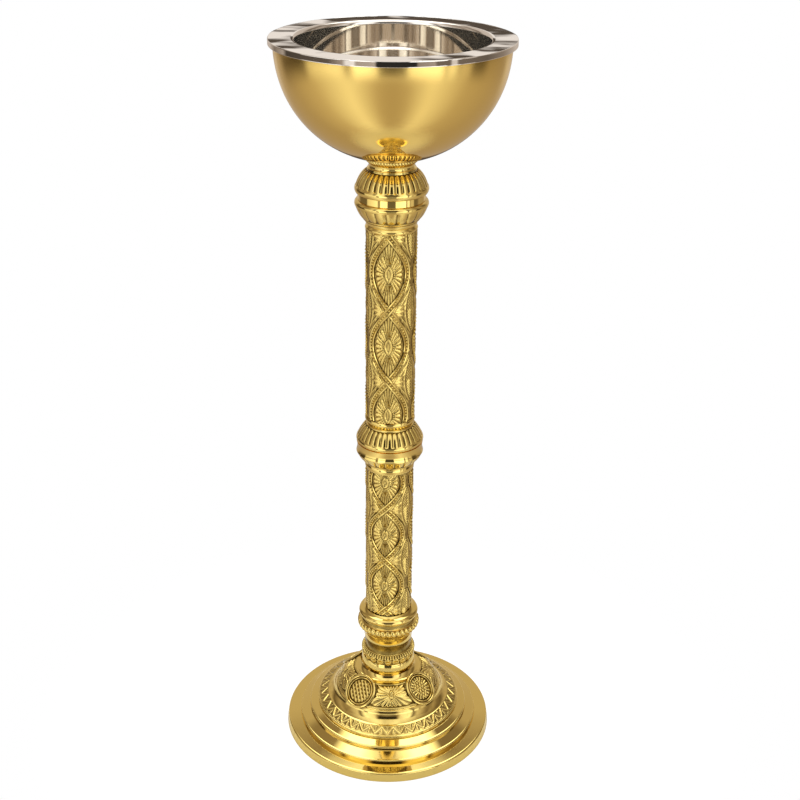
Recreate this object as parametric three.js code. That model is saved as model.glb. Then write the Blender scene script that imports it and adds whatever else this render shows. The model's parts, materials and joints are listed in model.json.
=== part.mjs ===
// A free-standing holy water stoup: a stepped and domed brass base, an embossed two-tube column with
// three knops, and a spun brass bowl that holds a lift-out plated liner. A tie rod clamps the stack.
// Millimetres, +Z up, origin on the floor at the centre of the base.
import * as THREE from "three";

// Fits between the pieces
const SEAT_GAP = 0.3; // between two stacked faces
const ROD_CLEARANCE = 0.5; // round the tie rod, on the radius
const REGISTER_CLEARANCE = 0.3; // round a register spigot in its rebate, on the radius
const TUBE_CLEARANCE = 0.3; // round a tube in its socket or a spigot in its tube, on the radius
const BALLAST_CLEARANCE = 4; // round the ballast inside the dome's skirt, on the radius
const LIP_CLEARANCE = 2.6; // between the bowl's rim and the liner's turned-down lip, on the radius
const BASIN_CLEARANCE = 4; // between the liner's floor and the bowl, measured at the basin wall

// Felt ring under the base
const FELT_THICKNESS = 2;
const FELT_PROUD = 0.6; // how far the felt stands below the plinth's edge
const FELT_WIDTH = 22;
const FELT_INSET = 3; // from the inside of the plinth's wall

// Stepped plinth, a spun shell with an in-turned flange at its foot
const PLINTH_R = 149.6;
const PLINTH_BATTER = 2; // how far the first riser leans in
const PLINTH_WALL = 2;
const PLINTH_NOSE = 2.5; // rounding of each step's edge
const RISE_1 = 13.6;
const RISE_2 = 6.8;
const RISE_3 = 6.8;
const TREAD_1 = 18.2;
const TREAD_2 = 14;
const TREAD_3 = 12; // left bare outside the dome's skirt
const CLIMB_2 = 5.4; // how far the second tread climbs inwards
const CLIMB_3 = 4; // how far the third tread climbs inwards
const SKIRT_LAND = 1; // flat left outside the dome's skirt
const PLINTH_FLANGE = 28; // width of the in-turned flange
const EYE_INSET = 13; // ledge that the dome's skirt and the ballast share

// Cast-iron ballast disc and the clamping hardware
const BALLAST_THICKNESS = 16;
const BALLAST_POCKET_R = 20;
const BALLAST_POCKET_DEPTH = 11;
const ROD_R = 6;
const ROD_STICKOUT = 2.5; // thread showing past each nut
const NUT_HEIGHT = 10;
const NUT_ACROSS_FLATS = 19;
const NUT_THREAD_CLEARANCE = 0.3;
const BASE_WASHER_R = 15;
const BOWL_WASHER_R = 16;
const WASHER_THICKNESS = 2.5;

// Embossed base dome with its sloped border band
const DOME_WALL = 2.5;
const SKIRT_HEIGHT = 4.8;
const SKIRT_NOSE = 1.8;
const BAND_WIDTH = 14;
const BAND_RISE = 6.9;
const COVE_WIDTH = 11;
const COVE_RISE = 13.4;
const COVE_HOLLOW = 2;
const DOME_LEDGE = 1.9; // small step between the cove and the dome, as wide as it is high
const DOME_TOP_R = 47.5;
const DOME_RISE = 27;
const DOME_SWELL = 4;

// Column tubes and the register spigots that centre the castings on each other
const TUBE_R = 32.6;
const TUBE_WALL = 2;
const LOWER_TUBE_LENGTH = 233.9;
const UPPER_TUBE_LENGTH = 260.3;
const TUBE_SPIGOT_DEPTH = 10;
const TUBE_SPIGOT_WALL = 6;
const REGISTER_DEPTH = 3;
const REGISTER_WALL = 2.5;

// Castings below the lower tube
const CREST_ROUNDING = 0.5; // how far a knop's crest stands out from the edges beside it
const CAVETTO_HEIGHT = 6.7;
const CAVETTO_HOLLOW = 2.2;
const TORUS_R = 38.4;
const TORUS_PROUD = 1.4; // how far the torus stands out from the edges beside it
const TORUS_HEIGHT = 18;
const SPOOL_FOOT_R = 38.9;
const SPOOL_SHOULDER_R = 37.2;
const SPOOL_WAIST_R = 36.2;
const SPOOL_BAND_HEIGHT = 18;
const SPOOL_SWELL = 1.7;
const SPOOL_NECK_HEIGHT = 13.2;
const LOWER_KNOP_R = 44.3;
const LOWER_CUP_STEM_HEIGHT = 10.2;
const LOWER_CUP_STEM_FLARE = 0.6; // how much the stem of the cup opens from the spool's waist
const LOWER_CUP_RISE = 10.2;
const LOWER_CUP_SWELL = 1.2;
const GADROON_CREST_HEIGHT = 1.2;
const GADROON_SLOPE_HEIGHT = 16.5;
const GADROON_TAPER = 3.5; // how much the gadroon ring draws in towards its top
const GADROON_SWELL = 0.2;
const SOCKET_LIP_R = 42.2;
const SOCKET_LIP_PROUD = 1.4; // how far the lip stands out from the edges beside it
const SOCKET_LIP_HEIGHT = 7;
const SOCKET_RISE = 4.8;
const SOCKET_SWELL = 0.8;
const SOCKET_EDGE = 0.8; // wall left at the socket's mouth
const SOCKET_DEPTH = 7;

// Castings between the tubes
const COLLAR_PROUD = 0.9; // how far a tube's collar stands out from the tube
const CUP_FOOT_FLARE = 2.8; // step from a collar out to the cup above it
const CUP_FOOT_HEIGHT = 2.2;
const DOME_NECK_R = 31; // where a knop's dome ends above
const MID_LOWER_COLLAR_HEIGHT = 8.2;
const MID_KNOP_R = 45.3;
const MID_CUP_HEIGHT = 15.9;
const MID_CUP_SWELL = 0.4;
const MID_RING_HEIGHT = 14.8;
const MID_RING_HOLLOW = 1.1;
const MID_BEAD_HEIGHT = 8.6;
const MID_BEAD_PROUD = 1.6; // how far the bead stands out from the edges beside it
const MID_DOME_HEIGHT = 18.3;
const MID_DOME_SWELL = 1;
const MID_UPPER_COLLAR_GROOVE = 3.9; // height of the slope from the dome's neck out to the collar
const MID_UPPER_COLLAR_HEIGHT = 6.4;

// Castings above the upper tube
const UPPER_COLLAR_HEIGHT = 4.4;
const UPPER_GROOVE_HEIGHT = 1.7;
const UPPER_GROOVE_DEPTH = 1.1; // below the tube's surface
const UPPER_COLLAR_RISE = 4.9; // from the groove up to the cup
const UPPER_KNOP_R = 46.7;
const UPPER_CUP_HEIGHT = 19.7;
const UPPER_CUP_SWELL = 1;
const UPPER_CUP_BEAD_HEIGHT = 6.7;
const UPPER_BEAD_PROUD = 1.7; // how far each bead stands out from the edges beside it
const BAND_RING_HEIGHT = 9.1;
const BAND_RING_RECESS = 4; // below the knop's crest
const UPPER_BEAD_HEIGHT = 9.8;
const UPPER_DOME_HEIGHT = 20.3;
const UPPER_DOME_SWELL = 2.1;

// Bowl neck, bowl and liner
const NECK_HEIGHT = 10.8;
const NECK_RING_HEIGHT = 5.7;
const NECK_STEP_HEIGHT = 1.8; // from the ring in to the waist
const NECK_WAIST_R = 29.8;
const NECK_LIP_R = 33;
const NECK_HOLLOW = 0.6;
const BOWL_R = 142.9;
const BOWL_DEPTH = 145.9;
const BOWL_FULLNESS = 2.148; // 2 is an ellipse, and more is fuller
const BOWL_WALL = 2;
const BOWL_FLAT_R = 18; // flat under and inside the bowl, round the rod
const LINER_SHEET = 1.5;
const LIP_HEIGHT = 7;
const LIP_THICKNESS = 3;
const BASIN_INSET = 26.2; // from the bowl's outside to the inside of the basin wall
const SHOULDER_R = 7; // rounding from the liner's flange into the basin
const BASIN_CORNER_R = 12;

// Facets round each piece, and steps along a curve of its outline
const BROAD_FACETS = 40;
const COLUMN_FACETS = 24;
const SMALL_FACETS = 16;
const CURVE_STEPS = 3;
const ROUND_STEPS = 2;
const BOWL_STEPS = 8;

// Sizes that follow from those above
const ROD_BORE_R = ROD_R + ROD_CLEARANCE;
const TUBE_SPIGOT_R = TUBE_R - TUBE_WALL - TUBE_CLEARANCE;
const COLUMN_BORE_R = TUBE_SPIGOT_R - TUBE_SPIGOT_WALL;
const REGISTER_SPIGOT_R = COLUMN_BORE_R + REGISTER_WALL;
const REGISTER_REBATE_R = REGISTER_SPIGOT_R + REGISTER_CLEARANCE;
const REGISTER_SPIGOT_HEIGHT = REGISTER_DEPTH - SEAT_GAP;
const STEP_1_R = PLINTH_R - PLINTH_BATTER;
const STEP_2_R = STEP_1_R - TREAD_1;
const STEP_3_R = STEP_2_R - TREAD_2;
const SKIRT_R = STEP_3_R - TREAD_3;
const EYE_R = SKIRT_R - EYE_INSET;
const STEP_2_TOP = RISE_1 + RISE_2;
const STEP_3_FOOT = STEP_2_TOP + CLIMB_2;
const STEP_3_TOP = STEP_3_FOOT + RISE_3;
const PLINTH_HEIGHT = STEP_3_TOP + CLIMB_3;
const COLLAR_R = TUBE_R + COLLAR_PROUD;
const BASIN_R = BOWL_R - BASIN_INSET;

// The materials, each with its colour, roughness and metalness
const polishedBrass = new THREE.MeshStandardMaterial({ color: 0xd9ac3c, roughness: 0.16, metalness: 1 });
const satinBrass = new THREE.MeshStandardMaterial({ color: 0xcfa544, roughness: 0.34, metalness: 1 });
const embossedBrass = new THREE.MeshStandardMaterial({ color: 0xc79a38, roughness: 0.28, metalness: 1 });
const platedLiner = new THREE.MeshStandardMaterial({ color: 0xd9d6cf, roughness: 0.1, metalness: 1 });
const zincSteel = new THREE.MeshStandardMaterial({ color: 0xb4b7ba, roughness: 0.4, metalness: 1 });
const greyIron = new THREE.MeshStandardMaterial({ color: 0x3d3d3f, roughness: 0.8, metalness: 0.6 });
const darkFelt = new THREE.MeshStandardMaterial({ color: 0x2b3328, roughness: 1, metalness: 0 });

// A point of an outline: its distance from the axis and its height
function at(radius, height) {
  return new THREE.Vector2(radius, height);
}

// Points after from, up to to, on a curve that stands out from the straight line by swell in its middle
function swollen(from, to, swell, steps = CURVE_STEPS) {
  const outward = at(to.y - from.y, from.x - to.x).normalize();
  return Array.from({ length: steps }, (_, index) => {
    const share = (index + 1) / steps;
    const offset = 4 * swell * share * (1 - share);
    return from.clone().lerp(to, share).addScaledVector(outward, offset);
  });
}

// Points of an elliptical arc, whose angles in degrees run from the radius towards the height
function arc(centre, radii, startAngle, endAngle, steps) {
  return Array.from({ length: steps + 1 }, (_, index) => {
    const angle = THREE.MathUtils.degToRad(THREE.MathUtils.lerp(startAngle, endAngle, index / steps));
    return at(centre.x + radii.x * Math.cos(angle), centre.y + radii.y * Math.sin(angle));
  });
}

// A half-round bead on an edge of radius core, from the height low up to high
function bead(core, crest, low, high) {
  const half = (high - low) / 2;
  return arc(at(core, low + half), at(crest - core, half), -90, 90, CURVE_STEPS);
}

// A closed outline turned about the axis, with its heights along +Z
function turned(outline, facets) {
  const closed = outline[0].x === 0 ? outline : [...outline, outline[0]];
  return new THREE.LatheGeometry(closed, facets).rotateX(Math.PI / 2);
}

// A plain ring or tube
function ring(innerR, outerR, height, facets) {
  const outline = [at(outerR, 0), at(outerR, height), at(innerR, height), at(innerR, 0)];
  return turned(outline, facets);
}

// How a column casting ends above: what lies between its outside and its bore at its top
const TOP_ENDS = {
  flat: (top, bore) => [at(bore, top)],
  spigot: (top, bore) => [
    at(REGISTER_SPIGOT_R, top),
    at(REGISTER_SPIGOT_R, top + REGISTER_SPIGOT_HEIGHT),
    at(bore, top + REGISTER_SPIGOT_HEIGHT),
  ],
  tubeSpigot: (top, bore) => [
    at(TUBE_SPIGOT_R, top),
    at(TUBE_SPIGOT_R, top + TUBE_SPIGOT_DEPTH),
    at(bore, top + TUBE_SPIGOT_DEPTH),
  ],
  tubeSocket: (top, bore) => [
    at(TUBE_R + TUBE_CLEARANCE, top),
    at(TUBE_R + TUBE_CLEARANCE, top - SOCKET_DEPTH),
    at(bore, top - SOCKET_DEPTH),
  ],
};

// How a column casting ends below, from its bore out to its foot
const FOOT_ENDS = {
  flat: (bore) => [at(bore, 0)],
  rebate: (bore) => [
    at(bore, REGISTER_DEPTH),
    at(REGISTER_REBATE_R, REGISTER_DEPTH),
    at(REGISTER_REBATE_R, 0),
  ],
  tubeSpigot: (bore) => [
    at(bore, -TUBE_SPIGOT_DEPTH),
    at(TUBE_SPIGOT_R, -TUBE_SPIGOT_DEPTH),
    at(TUBE_SPIGOT_R, 0),
  ],
};

// A column casting: its outside from foot to top, then its bore with what joins it to its neighbours
function casting(outside, foot, top, bore = COLUMN_BORE_R) {
  const height = outside.at(-1).y;
  const inside = [...TOP_ENDS[top](height, bore), ...FOOT_ENDS[foot](bore)];
  return turned([...outside, ...inside], COLUMN_FACETS);
}

function feltRing() {
  const outerR = PLINTH_R - PLINTH_WALL - FELT_INSET;
  return ring(outerR - FELT_WIDTH, outerR, FELT_THICKNESS, BROAD_FACETS);
}

// Spun shell: each step is a riser, a rounded nose and a tread, and the flange is turned in above the felt
function plinth() {
  const steps = [
    { foot: at(PLINTH_R, 0), radius: STEP_1_R, top: RISE_1 },
    { foot: at(STEP_2_R, RISE_1), radius: STEP_2_R, top: STEP_2_TOP },
    { foot: at(STEP_3_R, STEP_3_FOOT), radius: STEP_3_R, top: STEP_3_TOP },
  ];
  const land = at(SKIRT_R + SKIRT_LAND, PLINTH_HEIGHT);
  const inset = at(-PLINTH_WALL, -PLINTH_WALL);
  const nose = ({ radius, top }, rounding) => {
    const centre = at(radius - PLINTH_NOSE, top - PLINTH_NOSE);
    return arc(centre, at(rounding, rounding), 0, 90, ROUND_STEPS);
  };
  const outside = steps.flatMap((step) => [step.foot, ...nose(step, PLINTH_NOSE)]);
  const inside = steps.flatMap((step) => {
    const foot = step.foot.y === 0 ? [] : [step.foot.clone().add(inset)];
    return [...foot, ...nose(step, PLINTH_NOSE - PLINTH_WALL)];
  });
  const eye = [at(EYE_R, PLINTH_HEIGHT), at(EYE_R, PLINTH_HEIGHT - PLINTH_WALL)];
  const flangeFoot = FELT_THICKNESS - FELT_PROUD + SEAT_GAP;
  const flange = [
    at(PLINTH_R - PLINTH_WALL, flangeFoot + PLINTH_WALL),
    at(PLINTH_R - PLINTH_FLANGE, flangeFoot + PLINTH_WALL),
    at(PLINTH_R - PLINTH_FLANGE, flangeFoot),
    at(PLINTH_R - PLINTH_WALL, flangeFoot),
    at(PLINTH_R - PLINTH_WALL, 0),
  ];
  const lining = [land.clone().add(inset), ...inside.reverse()];
  return turned([...outside, land, ...eye, ...lining, ...flange], BROAD_FACETS);
}

// Iron disc with a pocket below for the nut and its washer
function ballast() {
  const outerR = SKIRT_R - BALLAST_CLEARANCE;
  const outline = [
    at(outerR, 0),
    at(outerR, BALLAST_THICKNESS),
    at(ROD_BORE_R, BALLAST_THICKNESS),
    at(ROD_BORE_R, BALLAST_POCKET_DEPTH),
    at(BALLAST_POCKET_R, BALLAST_POCKET_DEPTH),
    at(BALLAST_POCKET_R, 0),
  ];
  return turned(outline, BROAD_FACETS);
}

function washer(outerR) {
  return ring(ROD_BORE_R, outerR, WASHER_THICKNESS, SMALL_FACETS);
}

function hexNut() {
  const cornerR = NUT_ACROSS_FLATS / Math.sqrt(3);
  const corners = Array.from({ length: 6 }, (_, index) => {
    const angle = (index * Math.PI) / 3;
    return at(cornerR * Math.cos(angle), cornerR * Math.sin(angle));
  });
  const hexagon = new THREE.Shape(corners);
  const hole = new THREE.Path().absarc(0, 0, ROD_R + NUT_THREAD_CLEARANCE, 0, 2 * Math.PI, true);
  hexagon.holes.push(hole);
  return new THREE.ExtrudeGeometry(hexagon, {
    depth: NUT_HEIGHT,
    bevelEnabled: false,
    curveSegments: SMALL_FACETS / 2,
  });
}

function tieRod(length) {
  const rod = new THREE.CylinderGeometry(ROD_R, ROD_R, length, SMALL_FACETS);
  return rod.rotateX(Math.PI / 2).translate(0, 0, length / 2);
}

// Shell of skirt, sloped band, cove, ledge and dome, closed above by a web that the rod passes through
function baseDome() {
  const bandFoot = at(SKIRT_R - SKIRT_NOSE, SKIRT_HEIGHT);
  const bandTop = at(SKIRT_R - SKIRT_NOSE - BAND_WIDTH, SKIRT_HEIGHT + BAND_RISE);
  const coveTop = at(bandTop.x - COVE_WIDTH, bandTop.y + COVE_RISE);
  const domeFoot = at(coveTop.x - DOME_LEDGE, coveTop.y + DOME_LEDGE);
  const domeTop = at(DOME_TOP_R, domeFoot.y + DOME_RISE);
  const noseCentre = at(SKIRT_R - SKIRT_NOSE, SKIRT_HEIGHT - SKIRT_NOSE);
  const outside = [
    at(SKIRT_R, 0),
    ...arc(noseCentre, at(SKIRT_NOSE, SKIRT_NOSE), 0, 90, ROUND_STEPS),
    bandTop,
    ...swollen(bandTop, coveTop, -COVE_HOLLOW),
    domeFoot,
    ...swollen(domeFoot, domeTop, DOME_SWELL),
  ];
  const inset = at(-DOME_WALL, -DOME_WALL);
  const innerDome = [domeFoot, ...swollen(domeFoot, domeTop, DOME_SWELL, ROUND_STEPS)];
  const lining = [bandFoot, bandTop, coveTop, ...innerDome].map((point) => point.clone().add(inset));
  const inside = [
    at(ROD_BORE_R, domeTop.y + REGISTER_SPIGOT_HEIGHT),
    at(ROD_BORE_R, domeTop.y - DOME_WALL),
    ...lining.reverse(),
    at(SKIRT_R - SKIRT_NOSE - DOME_WALL, 0),
  ];
  const boss = [
    at(REGISTER_SPIGOT_R, domeTop.y),
    at(REGISTER_SPIGOT_R, domeTop.y + REGISTER_SPIGOT_HEIGHT),
  ];
  return { geometry: turned([...outside, ...boss, ...inside], BROAD_FACETS), height: domeTop.y };
}

// The outsides of the column castings, each from its foot at height 0 up to its top
function baseCollarOutside() {
  const foot = at(DOME_TOP_R, 0);
  const throatR = TORUS_R - TORUS_PROUD;
  const throat = at(throatR, CAVETTO_HEIGHT);
  return [
    foot,
    ...swollen(foot, throat, -CAVETTO_HOLLOW),
    ...bead(throatR, TORUS_R, CAVETTO_HEIGHT, CAVETTO_HEIGHT + TORUS_HEIGHT).slice(1),
  ];
}

function footSpoolOutside() {
  const foot = at(SPOOL_FOOT_R, 0);
  const shoulder = at(SPOOL_SHOULDER_R, SPOOL_BAND_HEIGHT);
  const waist = at(SPOOL_WAIST_R, SPOOL_BAND_HEIGHT + SPOOL_NECK_HEIGHT);
  return [foot, ...swollen(foot, shoulder, SPOOL_SWELL), waist];
}

function lowerCupOutside() {
  const foot = at(SPOOL_WAIST_R, 0);
  const stem = at(SPOOL_WAIST_R + LOWER_CUP_STEM_FLARE, LOWER_CUP_STEM_HEIGHT);
  const brim = at(LOWER_KNOP_R - CREST_ROUNDING, LOWER_CUP_STEM_HEIGHT + LOWER_CUP_RISE);
  return [foot, stem, ...swollen(stem, brim, LOWER_CUP_SWELL)];
}

function gadroonRingOutside() {
  const crest = at(LOWER_KNOP_R, GADROON_CREST_HEIGHT);
  const top = at(LOWER_KNOP_R - GADROON_TAPER, GADROON_CREST_HEIGHT + GADROON_SLOPE_HEIGHT);
  return [at(LOWER_KNOP_R - CREST_ROUNDING, 0), crest, ...swollen(crest, top, GADROON_SWELL)];
}

function tubeSocketOutside() {
  const edgeR = SOCKET_LIP_R - SOCKET_LIP_PROUD;
  const lipTop = at(edgeR, SOCKET_LIP_HEIGHT);
  const mouth = at(TUBE_R + TUBE_CLEARANCE + SOCKET_EDGE, SOCKET_LIP_HEIGHT + SOCKET_RISE);
  return [
    ...bead(edgeR, SOCKET_LIP_R, 0, SOCKET_LIP_HEIGHT),
    ...swollen(lipTop, mouth, SOCKET_SWELL),
  ];
}

// A collar's bead between two heights, standing out from the tube
function collarBead(low, high) {
  return bead(TUBE_R, COLLAR_R, low, high);
}

// A cup that steps out from the collar below it and opens to the knop's crest
function cupOutside(knopR, height, swell) {
  const step = at(COLLAR_R + CUP_FOOT_FLARE, CUP_FOOT_HEIGHT);
  const brim = at(knopR - CREST_ROUNDING, height);
  return [at(COLLAR_R, 0), step, ...swollen(step, brim, swell)];
}

// A bead that carries a dome, which narrows to the neck above it
function beadedDomeOutside(knopR, beadProud, beadHeight, domeHeight, swell) {
  const edgeR = knopR - beadProud;
  const domeTop = at(DOME_NECK_R, beadHeight + domeHeight);
  return [
    ...bead(edgeR, knopR, 0, beadHeight),
    ...swollen(at(edgeR, beadHeight), domeTop, swell),
  ];
}

function midRingOutside() {
  const foot = at(MID_KNOP_R, 0);
  const top = at(MID_KNOP_R - CREST_ROUNDING, MID_RING_HEIGHT);
  return [foot, ...swollen(foot, top, -MID_RING_HOLLOW)];
}

function midUpperCollarOutside() {
  const top = MID_UPPER_COLLAR_GROOVE + MID_UPPER_COLLAR_HEIGHT;
  return [at(DOME_NECK_R, 0), ...collarBead(MID_UPPER_COLLAR_GROOVE, top)];
}

function upperCollarOutside() {
  const groove = at(TUBE_R - UPPER_GROOVE_DEPTH, UPPER_COLLAR_HEIGHT + UPPER_GROOVE_HEIGHT);
  const top = at(COLLAR_R, groove.y + UPPER_COLLAR_RISE);
  return [...collarBead(0, UPPER_COLLAR_HEIGHT), groove, top];
}

function upperCupOutside() {
  const cup = cupOutside(UPPER_KNOP_R, UPPER_CUP_HEIGHT, UPPER_CUP_SWELL);
  const crest = at(UPPER_KNOP_R, UPPER_CUP_HEIGHT + UPPER_CUP_BEAD_HEIGHT / 2);
  const top = at(UPPER_KNOP_R - UPPER_BEAD_PROUD, UPPER_CUP_HEIGHT + UPPER_CUP_BEAD_HEIGHT);
  return [...cup, crest, top];
}

function bandRingOutside() {
  const bandR = UPPER_KNOP_R - BAND_RING_RECESS;
  return [at(bandR, 0), at(bandR, BAND_RING_HEIGHT)];
}

// Depth below the rim of a bowl of a widest radius and a depth, at a distance from the axis
function bowlDrop(radius, widest, depth) {
  return depth * Math.max(0, 1 - (radius / widest) ** 2) ** (1 / BOWL_FULLNESS);
}

// Height of the bowl's outside above its flat, at a distance from the axis
function bowlRise(radius) {
  return bowlDrop(BOWL_FLAT_R, BOWL_R, BOWL_DEPTH) - bowlDrop(radius, BOWL_R, BOWL_DEPTH);
}

// Ring, waist and a flared lip that is dished to carry the bowl
function bowlNeck() {
  const waist = at(NECK_WAIST_R, NECK_RING_HEIGHT + NECK_STEP_HEIGHT);
  const lip = at(NECK_LIP_R, NECK_HEIGHT + bowlRise(NECK_LIP_R));
  const outside = [
    at(DOME_NECK_R, 0),
    at(DOME_NECK_R, NECK_RING_HEIGHT),
    waist,
    ...swollen(waist, lip, -NECK_HOLLOW),
  ];
  const seat = [at(BOWL_FLAT_R, NECK_HEIGHT), at(ROD_BORE_R, NECK_HEIGHT), at(ROD_BORE_R, 0)];
  return turned([...outside, ...seat], COLUMN_FACETS);
}

// Spun bowl with a flat round the rod's hole, which opens up to its rim
function bowlShell() {
  const rim = bowlRise(BOWL_R);
  const start = Math.asin(NECK_LIP_R / BOWL_R);
  const side = (widest, depth) => Array.from({ length: BOWL_STEPS + 1 }, (_, index) => {
    const angle = THREE.MathUtils.lerp(start, Math.PI / 2, index / BOWL_STEPS);
    const radius = widest * Math.sin(angle);
    return at(radius, rim - bowlDrop(radius, widest, depth));
  });
  const outline = [
    at(ROD_BORE_R, 0),
    at(BOWL_FLAT_R, 0),
    ...side(BOWL_R, BOWL_DEPTH),
    ...side(BOWL_R - BOWL_WALL, BOWL_DEPTH - BOWL_WALL).reverse(),
    at(BOWL_FLAT_R, BOWL_WALL),
    at(ROD_BORE_R, BOWL_WALL),
  ];
  return { geometry: turned(outline, BROAD_FACETS), rim };
}

// Lift-out basin with a flat flange and a turned-down lip; height 0 is where the flange rests on the rim
function liner() {
  const lipOuterR = BOWL_R + LIP_CLEARANCE + LIP_THICKNESS;
  const lipInnerR = BOWL_R + LIP_CLEARANCE;
  const lipFoot = LINER_SHEET - LIP_HEIGHT;
  const rounding = LIP_THICKNESS / 2;
  const wallR = BASIN_R + LINER_SHEET;
  const drop = bowlDrop(wallR, BOWL_R - BOWL_WALL, BOWL_DEPTH - BOWL_WALL);
  const floorFoot = BASIN_CLEARANCE - SEAT_GAP - drop;
  const corner = at(BASIN_R - BASIN_CORNER_R, floorFoot + LINER_SHEET + BASIN_CORNER_R);
  const shoulder = at(BASIN_R + SHOULDER_R, LINER_SHEET - SHOULDER_R);
  const round = (radius) => at(radius, radius);
  const outline = [
    at(0, floorFoot),
    ...arc(corner, round(BASIN_CORNER_R + LINER_SHEET), -90, 0, CURVE_STEPS),
    ...arc(shoulder, round(SHOULDER_R - LINER_SHEET), 180, 90, ROUND_STEPS),
    at(lipInnerR, 0),
    at(lipInnerR, lipFoot),
    at(lipOuterR - rounding, lipFoot),
    at(lipOuterR, lipFoot + rounding),
    ...arc(at(lipOuterR - rounding, LINER_SHEET - rounding), round(rounding), 0, 90, ROUND_STEPS),
    ...arc(shoulder, round(SHOULDER_R), 90, 180, CURVE_STEPS),
    ...arc(corner, round(BASIN_CORNER_R), 0, -90, CURVE_STEPS),
    at(0, floorFoot + LINER_SHEET),
  ];
  return turned(outline, BROAD_FACETS);
}

// A named mesh with its foot at a height
function piece(name, geometry, material, foot) {
  const mesh = new THREE.Mesh(geometry, material);
  mesh.name = name;
  mesh.position.z = foot;
  return mesh;
}

// The column from the dome up to the bowl's neck, in the order that it is threaded on the rod
function columnPieces() {
  const tube = (length) => ring(TUBE_R - TUBE_WALL, TUBE_R, length, COLUMN_FACETS);
  const cast = (name, material, outside, foot, top, bore) => ({
    name,
    material,
    geometry: casting(outside, foot, top, bore),
    height: outside.at(-1).y,
    sink: top === "tubeSocket" ? SOCKET_DEPTH : 0,
  });
  const drawn = (name, length) => ({
    name,
    material: embossedBrass,
    geometry: tube(length),
    height: length,
    sink: 0,
  });
  const midCup = cupOutside(MID_KNOP_R, MID_CUP_HEIGHT, MID_CUP_SWELL);
  const midDomeRise = [MID_BEAD_HEIGHT, MID_DOME_HEIGHT, MID_DOME_SWELL];
  const midDome = beadedDomeOutside(MID_KNOP_R, MID_BEAD_PROUD, ...midDomeRise);
  const upperDomeRise = [UPPER_BEAD_HEIGHT, UPPER_DOME_HEIGHT, UPPER_DOME_SWELL];
  const upperDome = beadedDomeOutside(UPPER_KNOP_R, UPPER_BEAD_PROUD, ...upperDomeRise);
  return [
    cast("base_collar", polishedBrass, baseCollarOutside(), "rebate", "spigot"),
    cast("foot_spool", embossedBrass, footSpoolOutside(), "rebate", "spigot"),
    cast("lower_knop_cup", polishedBrass, lowerCupOutside(), "rebate", "spigot"),
    cast("lower_knop_gadroon", embossedBrass, gadroonRingOutside(), "rebate", "spigot"),
    cast("lower_tube_socket", polishedBrass, tubeSocketOutside(), "rebate", "tubeSocket"),
    drawn("lower_tube", LOWER_TUBE_LENGTH),
    cast("mid_lower_collar", polishedBrass, collarBead(0, MID_LOWER_COLLAR_HEIGHT), "tubeSpigot", "spigot"),
    cast("mid_knop_cup", embossedBrass, midCup, "rebate", "spigot"),
    cast("mid_knop_ring", polishedBrass, midRingOutside(), "rebate", "spigot", ROD_BORE_R),
    cast("mid_knop_dome", embossedBrass, midDome, "rebate", "spigot"),
    cast("mid_upper_collar", polishedBrass, midUpperCollarOutside(), "rebate", "tubeSpigot"),
    drawn("upper_tube", UPPER_TUBE_LENGTH),
    cast("upper_collar", polishedBrass, upperCollarOutside(), "tubeSpigot", "spigot"),
    cast("upper_knop_cup", embossedBrass, upperCupOutside(), "rebate", "spigot"),
    cast("upper_knop_band", polishedBrass, bandRingOutside(), "rebate", "spigot"),
    cast("upper_knop_dome", embossedBrass, upperDome, "rebate", "flat"),
  ];
}

function build() {
  const base = new THREE.Group();
  const plinthFoot = FELT_PROUD;
  const ballastFoot = plinthFoot + PLINTH_HEIGHT - PLINTH_WALL - SEAT_GAP - BALLAST_THICKNESS;
  const washerFoot = ballastFoot + BALLAST_POCKET_DEPTH - SEAT_GAP - WASHER_THICKNESS;
  const nutFoot = washerFoot - SEAT_GAP - NUT_HEIGHT;
  const rodFoot = nutFoot - ROD_STICKOUT;
  const domeFoot = plinthFoot + PLINTH_HEIGHT + SEAT_GAP;
  const dome = baseDome();
  base.add(
    piece("felt_ring", feltRing(), darkFelt, 0),
    piece("base_plinth", plinth(), polishedBrass, plinthFoot),
    piece("base_ballast", ballast(), greyIron, ballastFoot),
    piece("base_washer", washer(BASE_WASHER_R), zincSteel, washerFoot),
    piece("base_nut", hexNut(), zincSteel, nutFoot),
    piece("base_dome", dome.geometry, embossedBrass, domeFoot),
  );

  const column = new THREE.Group();
  let top = domeFoot + dome.height;
  for (const item of columnPieces()) {
    const foot = top + SEAT_GAP;
    column.add(piece(item.name, item.geometry, item.material, foot));
    top = foot + item.height - item.sink;
  }

  const basin = new THREE.Group();
  const neckFoot = top + SEAT_GAP;
  const bowlFoot = neckFoot + NECK_HEIGHT + SEAT_GAP;
  const bowl = bowlShell();
  const bowlWasherFoot = bowlFoot + BOWL_WALL + SEAT_GAP;
  const bowlNutFoot = bowlWasherFoot + WASHER_THICKNESS + SEAT_GAP;
  const rodTop = bowlNutFoot + NUT_HEIGHT + ROD_STICKOUT;
  basin.add(
    piece("bowl_neck", bowlNeck(), polishedBrass, neckFoot),
    piece("bowl_shell", bowl.geometry, satinBrass, bowlFoot),
    piece("bowl_washer", washer(BOWL_WASHER_R), zincSteel, bowlWasherFoot),
    piece("bowl_nut", hexNut(), zincSteel, bowlNutFoot),
    piece("liner", liner(), platedLiner, bowlFoot + bowl.rim + SEAT_GAP),
  );

  const stoup = new THREE.Group();
  stoup.name = "holy_water_stoup";
  stoup.add(base, column, basin, piece("tie_rod", tieRod(rodTop - rodFoot), zincSteel, rodFoot));
  return stoup;
}

export default build();
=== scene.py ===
import json
import math

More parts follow.
